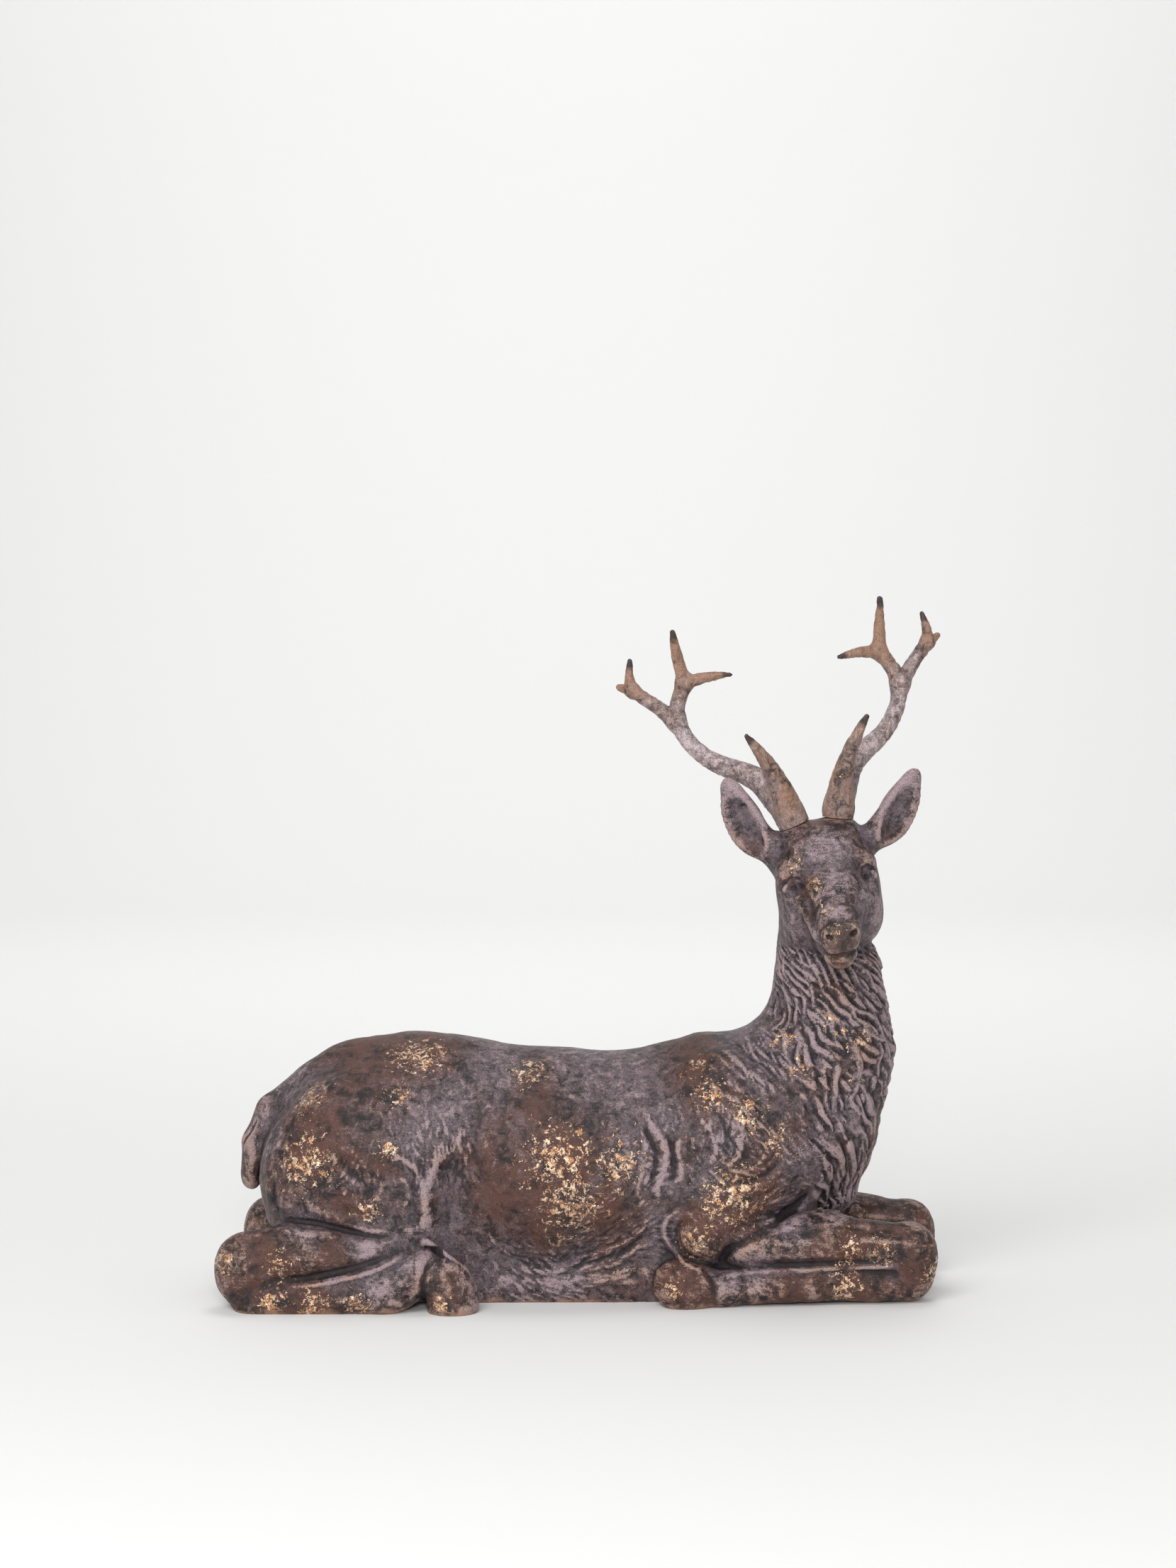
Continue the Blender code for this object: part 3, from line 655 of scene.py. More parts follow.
# %% Draw the folds
# Each fold: its half width, its height (below nil for a groove), and its run as (x, z) points
FOLDS = {
    "flank_ridge": (2.9, 1.15, [(-58, 74), (-61.6, 65), (-64, 56.4), (-66.6, 49.5), (-66.3, 42.5),
        (-66.3, 36), (-68, 30)]),
    "flank_fork": (2.2, 0.6, [(-66, 50), (-62, 60), (-55, 68), (-50, 78)]),
    "flank_curl": (1.3, 0.75, [(-81, 61.5), (-77.7, 63.7), (-73.9, 61.4), (-70.8, 58.7), (-67, 50)]),
    "flank_hollow": (5.0, -1.0, [(-52, 66), (-57, 54), (-58.5, 42), (-57, 30)]),
    "stifle_hollow": (3.2, -0.8, [(-76, 56), (-72, 48), (-72, 40), (-74, 34)]),
    "stifle_curl": (1.0, 0.45, [(-78, 56), (-74.4, 53), (-73.4, 47), (-76, 42)]),
    "rear_of_belly": (2.2, -0.6, [(-46, 88), (-44.6, 80), (-46.4, 69), (-44.6, 57), (-41, 48)]),
    "rear_of_belly_two": (1.6, -0.5, [(-37, 66), (-35, 57), (-37, 49)]),
    "belly_rim": (3.0, -0.65, [(-26, 82), (-4, 84), (16, 76), (21, 62), (17, 45), (6, 30), (-8, 20),
        (-24, 18), (-37, 26), (-46, 40)]),
    "thigh_hollow": (3.8, -1.9, [(-104, 65), (-98, 57), (-92, 51), (-86, 47)]),
    "thigh_edge": (1.7, 0.95, [(-106, 68), (-102, 60), (-95.5, 53.4), (-90, 50)]),
    "thigh_low_ridge": (2.4, 0.7, [(-119, 48), (-110.7, 41.8), (-100, 37), (-89.5, 34), (-79, 33)]),
    "thigh_low_crease": (1.5, -1.1, [(-126, 36.5), (-112, 35.8), (-100, 33.4), (-88, 31.2),
        (-77, 31.6)]),
    "ham_groove": (1.3, -0.8, [(-129, 55), (-129.6, 46), (-126.5, 36)]),
    "gaskin_top": (1.9, 0.5, [(-140, 31), (-126, 34), (-110, 32.5), (-96, 30)]),
    "hind_shin_ridge": (1.15, 0.95, [(-127, 10.6), (-115, 12), (-104, 13.9), (-92, 17), (-81.6, 21),
        (-73, 25.5)]),
    "hind_shin_groove": (1.7, -0.9, [(-129, 13.8), (-114, 15.6), (-102, 17.6), (-91, 21), (-80, 25)]),
    "hind_shin_under": (2.6, -0.35, [(-118, 8), (-104, 9.6), (-92, 11.8), (-82, 14.6)]),
    "hoof_crease": (1.3, -1.0, [(-64, 24), (-66.8, 16), (-67.6, 8), (-67.3, 0)]),
    "hoof_face": (2.2, -0.5, [(-57, 20), (-54.5, 12), (-54, 4)]),
    "toe_step": (1.4, 0.5, [(-82, 5.6), (-78, 5.2), (-75.5, 3.4)]),
    "fore_shin_ridge": (1.1, 0.85, [(52, 12.6), (66, 14.4), (95, 15.3), (118, 15.9), (128.6, 15.9)]),
    "fore_shin_groove": (1.7, -1.0, [(60, 18.4), (84, 18.2), (106, 18.8), (121, 19), (130, 20.6)]),
    "forearm_top_groove": (1.0, -0.6, [(104, 32.6), (112, 31.4), (119, 30.2), (133, 30.6)]),
    "forearm_tendon": (1.7, 0.5, [(108, 28.2), (120.4, 27.2), (136, 26.4)]),
    "forearm_hollow": (2.2, -0.4, [(74, 30), (88, 30.4), (100, 28)]),
    "fore_hoof_crease": (1.2, -0.7, [(47, 17), (51.5, 11), (52.6, 4)]),
    "arm_edge": (2.0, -1.5, [(53, 17), (57.4, 22.5), (66, 28.4), (78, 34), (88, 41), (95, 50)]),
    "elbow_fold": (1.3, 0.8, [(40, 42), (33.6, 38), (31.4, 31), (35, 23.4), (42, 18.2), (53, 14.6)]),
    "elbow_groove": (1.5, -0.8, [(42, 40), (37, 33), (37.6, 26.4), (43, 21.4), (52, 18.4)]),
    "wrinkle_one": (1.7, 0.8, [(18, 86), (24.4, 79.6), (27.4, 74), (31, 68.8), (32.2, 61.6),
        (30.7, 55), (28.9, 48), (31, 40)]),
    "wrinkle_one_groove": (1.2, -0.8, [(22, 76), (25, 71), (27.8, 64), (27.4, 57), (26, 50)]),
    "wrinkle_two": (1.3, -0.7, [(33, 72), (35, 65), (35.6, 58), (33.4, 50)]),
    "wrinkle_three": (1.5, 0.55, [(39, 74), (37, 66), (38.6, 58), (37, 50)]),
    "wrinkle_four": (1.3, 0.5, [(21, 66), (22.4, 58), (20.6, 50), (23, 42)]),
    "belly_line_one": (1.2, 0.45, [(-3, 20), (11.5, 24.1), (20.4, 30.4), (27, 39)]),
    "belly_line_two": (1.2, -0.5, [(-6, 16), (8, 19.4), (18, 24.6), (25, 32)]),
    "belly_line_three": (1.1, 0.4, [(4, 13), (15, 19), (24, 26.8)]),
    "belly_line_four": (1.2, -0.4, [(-15, 11), (-4, 16), (4, 24)]),
    "belly_line_five": (1.2, 0.4, [(-42, 34), (-38.5, 26.8), (-31, 20)]),
    "blade_hollow_one": (1.9, -0.8, [(59, 94), (67, 90), (71.5, 83.5), (70.4, 77)]),
    "blade_ridge_one": (1.5, 0.6, [(49, 97), (53.5, 90), (62.4, 84.7), (68.7, 77), (77, 72), (81, 63)]),
    "blade_hollow_two": (2.0, -0.8, [(48, 84), (55, 78), (58, 69), (55, 60)]),
    "blade_ridge_two": (1.3, 0.5, [(44, 80), (50, 74), (52.6, 66), (49, 58)]),
    "blade_ridge_three": (1.4, 0.6, [(58, 80), (63.4, 73), (62, 64), (57, 58)]),
    "arm_hollow": (1.5, -0.8, [(54, 55), (64, 52.6), (74, 56), (81, 64)]),
    "arm_ridge": (1.3, 0.6, [(54, 59), (63, 57), (70, 60), (75, 66)]),
    "arm_hollow_two": (1.3, -0.5, [(50, 47), (60, 44.6), (72, 47), (82, 54)]),
    "neck_line_one": (1.3, 0.5, [(56, 106), (62.7, 99.7), (69, 95), (79, 89)]),
    "neck_line_two": (1.3, -0.5, [(60, 108), (66, 102.6), (73, 98), (80, 93)]),
    "neck_line_three": (1.3, 0.45, [(66, 110), (70, 105), (77, 100)]),
}
FOLD_LIFT = 1.45
FOLD_FADE = 0.22  # the share of a stroke over which it fades at each end
STROKE_REACH = 2.2  # half widths beyond which a stroke isn't felt
LEGS_TOP = 40.0
TOE_PITS = ((-73.8, 7.6), (-69.8, 7.4))
TOE_PIT_SIZE = 0.75
TOE_PIT_DEPTH = 1.0


def lead_of_left(y, z):
    """How far the left side lies ahead of the right one at each point: only its legs do."""
    return LEFT_LEGS_LEAD * (y > 0) * eased((LEGS_TOP - z) / 10.0)


def off_spine(y, bare, fade=12.0):
    """0 along the middle of the figure, where the side view has no say, and 1 further out."""
    return eased((np.abs(y) - bare) / fade)


def stroke_strength(flat, run, width):
    """How strongly a soft stroke along the run is felt at each flat point, fading at its ends."""
    line = smooth_run(run)
    low = line.min(axis=0) - STROKE_REACH * width
    high = line.max(axis=0) + STROKE_REACH * width
    near = np.flatnonzero(((flat > low) & (flat < high)).all(axis=1))
    spots = flat[near]
    closest, place = np.full(len(near), 1e9), np.zeros(len(near))
    for step, (a, b) in enumerate(zip(line, line[1:])):
        way = b - a
        share = np.clip((spots - a) @ way / (way @ way), 0.0, 1.0)
        gap = np.linalg.norm(spots - a - share[:, None] * way, axis=1)
        place = np.where(gap < closest, (step + share) / (len(line) - 1), place)
        closest = np.minimum(closest, gap)
    return near, np.exp(-(closest / width) ** 2) * eased(place / FOLD_FADE) * eased((1.0 - place) / FOLD_FADE)


def fold_relief(points):
    """The folds' heights at each point, seen from its own side of the body."""
    x, y, z = points.T
    flat = np.column_stack([x - lead_of_left(y, z), z])
    height = np.zeros(len(points))
    for width, lift, run in FOLDS.values():
        near, strength = stroke_strength(flat, run, width)
        height[near] += FOLD_LIFT * lift * strength
    for pit in TOE_PITS:
        height -= TOE_PIT_DEPTH * np.exp(-((flat - pit) ** 2).sum(axis=1) / TOE_PIT_SIZE**2)
    return height * off_spine(y, 6.0)


print("folds:", len(FOLDS))

# %% [markdown]
# ## Small lumps of the hide
# A casting's skin is never even. A table of chance values, blended from cell to cell, gives soft
# lumps of any size. A noise texture in the material would only seem to raise them, and a shape that
# shows has to be in the mesh.

# %% Small lumps of the hide
LUMP_SIZES = {15.0: 0.38, 7.0: 0.26, 3.2: 0.11}
LUMP_TABLE = 32


def lumps(points, size, seed):
    """Smooth chance between -1 and 1 that changes over about the given size."""
    table = np.random.default_rng(seed).uniform(-1.0, 1.0, (LUMP_TABLE,) * 3)
    cells = points / size
    corner = np.floor(cells).astype(int)
    share = eased(cells - corner)
    total = np.zeros(len(points))
    for step in np.ndindex(2, 2, 2):
        weight = np.prod(np.where(step, share, 1.0 - share), axis=1)
        total += weight * table[tuple(((corner + step) % LUMP_TABLE).T)]
    return total


def uneven(points, middle, swing, size, seed):
    """A value that swings about its middle over the given size."""
    return middle + swing * lumps(points, size, seed)


print("lumps of the hide, size and height:", LUMP_SIZES)

# %% [markdown]
# ## Locks from seeds
# Short locks and tufts lie over each other like leaves. A seed is dropped for each, and a point near
# its seed stands out, while a point between two seeds lies in a parting. Hair strands or copies of
# one modelled lock would do too, but they would stay separate from the casting's one skin.

# %% Lay locks of hair from seeds
LOCK_REACH = 1.6  # lock lengths beyond which a seed isn't felt
LOCK_CURL = 2.2


def locks(over, up, seeds, length, width, bend):
    """For each point of an unrolled skin: how far it is up its own lock's crest, its place along
    the lock, and its place across it. A seed is over, up, lean, longer and wider."""
    count = len(over)
    first, second = np.full(count, 1e9), np.full(count, 1e9)
    ramp, side = np.zeros(count), np.zeros(count)
    order = np.argsort(over)
    ordered = over[order]
    reach = LOCK_REACH * length
    for seed_over, seed_up, lean, longer, wider in seeds:
        low, high = np.searchsorted(ordered, (seed_over - reach, seed_over + reach))
        span = order[low:high]
        span = span[np.abs(up[span] - seed_up) < reach]
        right, rise = over[span] - seed_over, up[span] - seed_up
        along = (right * math.sin(lean) - rise * math.cos(lean)) / (length * longer)
        curl = bend * np.sin(LOCK_CURL * along)
        across = right * math.cos(lean) + rise * math.sin(lean) + curl
        gap = np.hypot(along, across / (width * wider))
        closer = gap < first[span]
        second[span] = np.minimum(second[span], np.maximum(gap, first[span]))
        first[span] = np.minimum(first[span], gap)
        ramp[span] = np.where(closer, along, ramp[span])
        side[span] = np.where(closer, across, side[span])
    crest = np.where(second < 1e8, second - first, 0.0)
    return crest, np.clip(ramp, -1.5, 1.5), side


crest_of_one = locks(np.zeros(1), np.zeros(1), [(0, 1, 0, 1, 1), (3, 0, 0, 1, 1)], 6.0, 1.2, 0.6)[0]
print("a point beside two seeds is this far up the nearer lock:", crest_of_one.round(2))

# %% [markdown]
# ## The mane
# The mane is long wavy locks that lean towards the chest. Modelling each would take hundreds of
# lists of points. Instead the neck is unrolled and crossed by two sets of wavy crests; where they
# meet, the higher one shows, so locks seem to run over each other. Short locks from seeds break up
# what would look like corduroy.

# %% Where the mane is, and which way it runs
# Rows of height, rear edge of the mane, and the neck's own axis
MANE_RUN = np.array([
    (30, 95, 100), (60, 92, 94), (80, 88, 92), (100, 82, 96), (115, 74, 99), (135, 78, 99), (150, 79, 98)])
MANE_REACH = ((50, 90, 125, 140), (26, 44, 34, 29))  # heights, and how far out the mane goes there
MANE_TOP = 148.0
MANE_FOOT = 26.0
MANE_LEAN = np.array([(26, 0.15), (45, 0.28), (70, 0.62), (100, 0.85), (125, 1.0), (146, 1.2)])
STEEPEST_LEAN = 1.25


def mane_flow(height, more=0.0):
    """How far a lock that leans towards the chest has moved round the neck at a height."""
    steps = np.arange(20.0, 156.0)
    lean = np.interp(steps, *MANE_LEAN.T) + more
    return np.interp(height, steps, np.cumsum(np.tan(np.clip(lean, -STEEPEST_LEAN, STEEPEST_LEAN))))


def mane_mask(points):
    """1 inside the mane, 0 outside it, with a short slope between."""
    x, y, z = points.T
    rear = np.interp(z, MANE_RUN[:, 0], MANE_RUN[:, 1])
    axis = np.interp(z, MANE_RUN[:, 0], MANE_RUN[:, 2])
    inside = eased((x - rear) / 3.5) * eased((MANE_TOP - z) / 4.0) * eased((z - MANE_FOOT) / 6.0)
    return inside * (np.hypot(x - axis, y) < np.interp(z, *MANE_REACH))


def mane_seeds():
    """Where short locks lie over the long ones: place, lean, longer and wider."""
    chance = np.random.default_rng(12)
    seeds = []
    for height in np.arange(30.0, MANE_TOP + 4, 9.0):
        for around in np.arange(-64.0, 2.0, 6.4):
            spot, high = around + chance.uniform(-2.6, 2.6), height + chance.uniform(-4.0, 4.0)
            lean = np.interp(high, *MANE_LEAN.T) + chance.uniform(-0.25, 0.25)
            seeds.append((spot, high, lean, chance.uniform(0.7, 1.3), chance.uniform(0.8, 1.5)))
    return seeds


print("short locks in the mane:", len(mane_seeds()))

# %% Cut the mane's locks
NECK_GIRTH = 26.0
LOCK_DEPTH = 3.1
LOCK_WIDTH = 7.6
LONG_LOCK_HEIGHT = 0.9  # of a short lock's
MANE_LEVEL = 0.74  # the share of a lock's height that lies at the clay's own surface
CROSSING_LEAN = -0.5
CROSSING_SHIFT = 3.0
STRAND_WIDTH = 2.0
STRAND_DEPTH = 0.28


def crests(place, width):
    """Round crests with sharp partings, one for every width."""
    return np.abs(np.sin(math.pi * place / width)) ** 0.75


def strands(place):
    return STRAND_DEPTH * crests(place, STRAND_WIDTH)


def mane_relief(points):
    """Long wavy locks: two sets that cross at a small angle, and the higher one shows."""
    inside = mane_mask(points)
    near = np.flatnonzero(inside > 0.0)
    spots = points[near]
    x, y, z = spots.T
    axis = np.interp(z, MANE_RUN[:, 0], MANE_RUN[:, 2])
    around = -NECK_GIRTH * np.abs(np.arctan2(y, x - axis))
    wave = 7.5 * lumps(spots, 15.0, 51) + 2.4 * lumps(spots, 6.5, 52)
    one = around + mane_flow(z) + wave
    two = around + mane_flow(z, CROSSING_LEAN) - wave + CROSSING_SHIFT
    first = crests(one, LOCK_WIDTH) * uneven(spots, middle=0.80, swing=0.55, size=9.0, seed=53)
    second = crests(two, 0.8 * LOCK_WIDTH) * uneven(spots, middle=0.74, swing=0.55, size=8.0, seed=54)
    height = uneven(spots, middle=z, swing=2.2, size=9.0, seed=55)
    gap, ramp, side = locks(around, height, mane_seeds(), length=13.0, width=2.7, bend=2.0)
    short = eased(gap / 0.9) * (0.86 + 0.25 * ramp)
    higher = np.maximum(first, second)
    fine = np.where(first > second, strands(one), strands(two))
    fine = np.where(short > higher, strands(side), fine)
    lock = np.maximum(higher * LONG_LOCK_HEIGHT, short) - MANE_LEVEL
    relief = np.zeros(len(points))
    relief[near] = inside[near] * (LOCK_DEPTH * lock + fine)
    return relief


print("the neck's skin is crossed by a lock every", LOCK_WIDTH, "and", 0.8 * LOCK_WIDTH)

# %% [markdown]
# ## The short coat
# The coat is low tufts that follow the muscles. A few guides note which way the hair lies, and each
# tuft takes its lean from the guides near it. Combed hair particles would do the same job, but they
# would have to be turned into mesh and fused with the skin.

# %% Tufts of the short coat
# Each guide is a place in the side view and the way the hair lies there, in degrees from +X
COAT_GUIDES = np.array([
    (-60, 100, -72), (-20, 98, -66), (20, 100, -60), (-110, 95, -112), (-130, 60, -100), (-105, 50, -132),
    (-85, 45, -55), (-66, 45, -92), (-52, 62, -70), (-40, 40, -62), (-20, 75, -40), (-10, 50, -30),
    (-22, 25, -20), (0, 25, 28), (14, 32, 42), (22, 50, 70), (30, 75, -80), (44, 90, -48), (55, 75, -100),
    (70, 80, -42), (62, 55, -12), (50, 40, -30), (76, 50, 38), (80, 62, -60), (64, 104, -40), (92, 30, -8),
    (120, 26, -4), (96, 8, 2), (-110, 24, 8), (-100, 8, 6), (-142, 16, -80), (40, 10, -30),
    (-56, 10, -70)], float)
TUFT_LENGTH = 6.0
TUFT_WIDTH = 1.25
TUFT_STEP = 4.4
TUFT_DEPTH = 0.55
COAT_TOP = 122.0
COAT_LEVEL = 0.6  # the share of a tuft's height that lies at the clay's own surface
# Places of the side view where the coat is thick, with their radius
THICK_COAT = ((8, 32, 24), (-20, 22, 16), (60, 70, 26), (-62, 62, 16), (28, 62, 14), (70, 40, 14),
              (74, 98, 16), (-98, 56, 12))
THIN_COAT_STRENGTH = 0.22
HAIR_WIDTH = 0.85
HAIR_DEPTH = 0.06


def coat_lean(over, up):
    """The way the coat lies at a place of the side view, as a lean from hanging straight."""
    near = 1.0 / ((COAT_GUIDES[:, 0] - over) ** 2 + (COAT_GUIDES[:, 1] - up) ** 2 + 30.0) ** 1.5
    angle = np.radians(COAT_GUIDES[:, 2])
    return math.atan2((near * np.cos(angle)).sum(), -(near * np.sin(angle)).sum())


def coat_seeds():
    chance = np.random.default_rng(5)
    seeds = []
    for up in np.arange(2.0, 118.0, TUFT_STEP):
        for over in np.arange(-152.0, 146.0, TUFT_STEP):
            spot = np.array((over, up)) + chance.uniform(-2.0, 2.0, 2)
            lean = coat_lean(*spot) + chance.uniform(-0.3, 0.3)
            seeds.append((*spot, lean, chance.uniform(0.7, 1.3), chance.uniform(0.7, 1.5)))
    return seeds


def coat_strength(x, z):
    thick = np.zeros(len(x))
    for over, up, radius in THICK_COAT:
        thick = np.maximum(thick, np.exp(-((x - over) ** 2 + (z - up) ** 2) / radius**2))
    return THIN_COAT_STRENGTH + 0.9 * thick


def coat_relief(points):
    """Low tufts and hairs of the short coat, drawn on the side view; none on the head and mane."""
    x, y, z = points.T
    fade = eased((COAT_TOP - z) / 12.0) * (1.0 - mane_mask(points)) * off_spine(y, 5.0)
    near = np.flatnonzero(fade > 0.01)
    gap, ramp, side = locks(x[near], z[near], coat_seeds(), TUFT_LENGTH, TUFT_WIDTH, bend=0.6)
    hairs = HAIR_DEPTH * np.sin(2 * math.pi * side / HAIR_WIDTH + ramp)
    tufts = TUFT_DEPTH * (eased(gap / 1.1) - COAT_LEVEL)
    relief = np.zeros(len(points))
    relief[near] = fade[near] * coat_strength(x[near], z[near]) * (tufts + hairs)
    return relief


print("tufts in the coat:", len(coat_seeds()))

# %% Add up the relief of the stag
HEAD_FOOT = 150.0  # height above which only the head lies


def stag_relief(points):
    """Mane, coat, folds and lumps; the lumps are shallow under the mane and on the head."""
    hide = sum(depth * lumps(points, size, seed)
               for seed, (size, depth) in enumerate(LUMP_SIZES.items()))
    smooth = 1.0 - 0.7 * mane_mask(points)
    head_calm = 1.0 - 0.75 * eased((points[:, 2] - HEAD_FOOT) / 10.0)
    return mane_relief(points) + coat_relief(points) + smooth * (head_calm * hide + fold_relief(points))


print("relief at the shoulder:", stag_relief(np.array([[55.0, -40.0, 75.0]])).round(2))

# %% [markdown]
# ## One skin over all the clay
# Rough balls and cones are fused by a voxel remesh, which gives one closed skin of even squares.
# That skin is only as smooth as the voxels, so each point is then moved along its normal until its
# blended distance is nil. Marching cubes would do the same from the distances alone, but Blender's
# own modifier is shorter and always closed.

# %% Remesh and settle
STAG_VOXEL = 0.8
FINE_STROKE = 1.5  # rolls no thicker than this are left to the settling


def evaluated(mesh, kind, **settings):
    """A new mesh: the given one with one modifier applied."""
    holder = bpy.data.objects.new("holder", mesh)
    bpy.context.scene.collection.objects.link(holder)
    modifier = holder.modifiers.new(kind.title(), kind)
    for name, value in settings.items():
        setattr(modifier, name, value)
    graph = bpy.context.evaluated_depsgraph_get()
    made = bpy.data.meshes.new_from_object(holder.evaluated_get(graph))
    bpy.data.objects.remove(holder)
    bpy.data.meshes.remove(mesh)
    return made


def points_of(mesh, kind="co"):
    values = np.empty(len(mesh.vertices) * 3)
    mesh.vertices.foreach_get(kind, values)
    return values.reshape(-1, 3)


def settle(mesh, masses, steps, furthest, relief=None):
    """Moves each point of the skin along its normal onto the blended surface and its relief."""
    for _ in range(steps):
        points, normals = points_of(mesh), points_of(mesh, "normal")
        away = blended_distance(points, masses)
        if relief:
            away -= relief(points)
        points -= normals * np.clip(away, -furthest, furthest)[:, None]
        mesh.vertices.foreach_set("co", points.ravel())
        mesh.update()


def skin(masses, voxel, relief):
    """One closed skin over the masses, all run together, with the relief on it."""
    clay = bmesh.new()
    for mass in masses:
        if not mass.carve and mass.girth() > FINE_STROKE:
            mass.rough(clay)
    mesh = bpy.data.meshes.new("clay")
    clay.to_mesh(mesh)
    clay.free()
    for size in (2 * voxel, voxel):
        mesh = evaluated(mesh, "REMESH", mode="VOXEL", voxel_size=size, adaptivity=0.0)
        settle(mesh, masses, steps=4, furthest=size)
    settle(mesh, masses, steps=3, furthest=voxel, relief=relief)
    return mesh


stag_mesh = skin(clay_of_stag, STAG_VOXEL, stag_relief)
print("skin of the stag:", len(stag_mesh.vertices), "points")

# %% [markdown]
# ## Masks for the painter
# A painter's wash runs into the hollows and a dry brush catches the crests. To know which is which,
# a copy of the skin is smoothed: where the smooth copy lies outside the real one there is a hollow,
# and where it lies inside there is a crest. Few rounds of smoothing find fine creases, many rounds
# find broad valleys. The results are stored on the points, where the shader reads them.

# %% Measure hollows and crests
TUNED_VOXEL = 0.8  # the rounds are right for a skin of this voxel
FINE_ROUNDS = 6
BROAD_ROUNDS = 110
FORM_VOXEL = 3.0
FORM_ROUNDS = 60
FINE_DEPTH = 0.30
BROAD_DEPTH = 1.2
FORM_DEPTH = 4.0


def smoothed(mesh, values, rounds):
    """The values after each has been averaged with its neighbours a number of times."""
    edges = np.empty(len(mesh.edges) * 2, int)
    mesh.edges.foreach_get("vertices", edges)
    ends = np.concatenate([edges.reshape(-1, 2), edges.reshape(-1, 2)[:, ::-1]])
    count = len(mesh.vertices)
    neighbours = np.maximum(np.bincount(ends[:, 0], minlength=count), 1)[:, None]
    for _ in range(rounds):
        sums = [np.bincount(ends[:, 0], column[ends[:, 1]], count) for column in values.T]
        values = 0.5 * values + 0.5 * np.stack(sums, axis=1) / neighbours
    return values


def standing_out(mesh, rounds):
    """How far each point stands out from the smoothed skin."""
    points = points_of(mesh)
    return ((points - smoothed(mesh, points, rounds)) * points_of(mesh, "normal")).sum(axis=1)


def store(mesh, name, values):
    mesh.attributes.new(name, "FLOAT", "POINT").data.foreach_set("value", values.astype(np.float32))


def large_forms(mesh):
    """How far each point stands out from the figure at large, measured on a coarse copy."""
    coarse = evaluated(mesh.copy(), "REMESH", mode="VOXEL", voxel_size=FORM_VOXEL, adaptivity=0.0)
    gap = standing_out(coarse, FORM_ROUNDS)
    finder = KDTree(len(coarse.vertices))
    for index, spot in enumerate(points_of(coarse)):
        finder.insert(spot, index)
    finder.balance()
    values = np.empty(len(mesh.vertices))
    for index, spot in enumerate(points_of(mesh)):
        found = finder.find_n(spot, 4)
        weights = [1.0 / (near + 0.5) for _, _, near in found]
        values[index] = sum(weight * gap[item[1]] for weight, item in zip(weights, found)) / sum(weights)
    return values


def store_relief_masks(mesh, voxel):
    """Hollow and crest at three sizes, each from -1 in a hollow to 1 on a crest."""
    finer = (TUNED_VOXEL / voxel) ** 2
    found = {
        "fine_crest": standing_out(mesh, max(2, round(FINE_ROUNDS * finer))) / FINE_DEPTH,
        "broad_crest": standing_out(mesh, round(BROAD_ROUNDS * finer)) / BROAD_DEPTH,
        "form_crest": large_forms(mesh) / FORM_DEPTH,
    }
    # Head and antlers are finely made, so their small crests count for less
    found["fine_crest"] *= 1.0 - 0.45 * eased((points_of(mesh)[:, 2] - HEAD_FOOT) / 6.0)
    for name, values in found.items():
        store(mesh, name, np.clip(values, -1.0, 1.0))
        print(name, "spread:", np.percentile(values, (2, 25, 50, 75, 98)).round(2))


store_relief_masks(stag_mesh, STAG_VOXEL)

# %% [markdown]
# ## Patches of wash and umber
# The wash wasn't wiped evenly: some places kept a lilac-grey veil and others were rubbed back to
# dark umber. A noise could scatter such patches, but where they lie was the painter's choice, so it
# is noted as soft spots, on both sides alike.

# %% Spots of tone
# Spots of the side view: x, z and radius; those of the face are in the head's own frame
VEILED = (
    (-61, 80, 13), (-57, 89, 10), (-73, 69, 8), (-65, 54, 6), (-64, 28, 9), (-46, 12, 12), (-30, 11, 9),
    (-2, 99, 14), (16, 92, 11), (-40, 98, 12), (30, 76, 7), (30, 55, 8), (31, 33, 7), (19, 66, 8),
    (57, 71, 8), (50, 56, 7), (72, 102, 10), (64, 112, 9), (70, 17, 6), (84, 36, 8), (106, 38, 7),
    (98, 47, 6), (-118, 33, 8), (-92, 29, 7), (-104, 15, 5), (-76, 22, 7), (-127, 91, 11), (-131, 70, 9),
    (-57, 24, 5), (-12, 10, 10), (74, 128, 9), (76, 145, 9), (-97, 55, 4), (58, 13, 5), (88, 16, 4),
    (118, 16, 4), (90, 60, 8), (-86, 14, 8))
RUBBED = (
    (-93, 104, 12), (-62, 104, 10), (-114, 70, 12), (-98, 60, 6), (-98, 42, 8), (-36, 48, 12), (-19, 33, 12),
    (10, 37, 11), (64, 48, 12), (66, 38, 10), (45, 34, 10), (-125, 23, 11), (-104, 22, 6), (138, 18, 9),
    (108, 25, 9), (87, 8, 8), (-115, 4, 9), (-44, 61, 8), (-36, 56, 6), (-19, 50, 9), (-110, 108, 9),
    (-55, 10, 8), (38, 10, 9), (44, 100, 8), (-10, 66, 12), (-85, 62, 5), (-20, 86, 9), (112, 8, 9),
    (-135, 10, 9))
FACE_VEILED = (
    (-2, -38, -13, 5), (18, -8, -8, 8), (-16, -15, -3, 3), (16, -15, -3, 3), (0, -15, 12, 9),
    (15, -12, -12, 9), (-15, -10, -12, 8), (0, -24, 0, 7), (-4, -30, -12, 7), (8, -22, -12, 8),
    (-15, -14, -14, 6), (-9, -33, -20, 4), (13, -22, -10, 6), (16, -12, -18, 7), (-16, 0, 14, 6),
    (17, 0, 14, 6), (-10, -20, -24, 6), (-28, 0, 30, 7), (-33, 0, 42, 6), (33, 0, 24, 7), (40, 0, 33, 6))
FACE_RUBBED = ((-3, -45, -20, 6), (-12, -22, -2, 4), (-11, -29, -10, 3), (-3, -39, -30, 4))
VEIL_REACH = 1.25
FACE_VEIL = 1.4


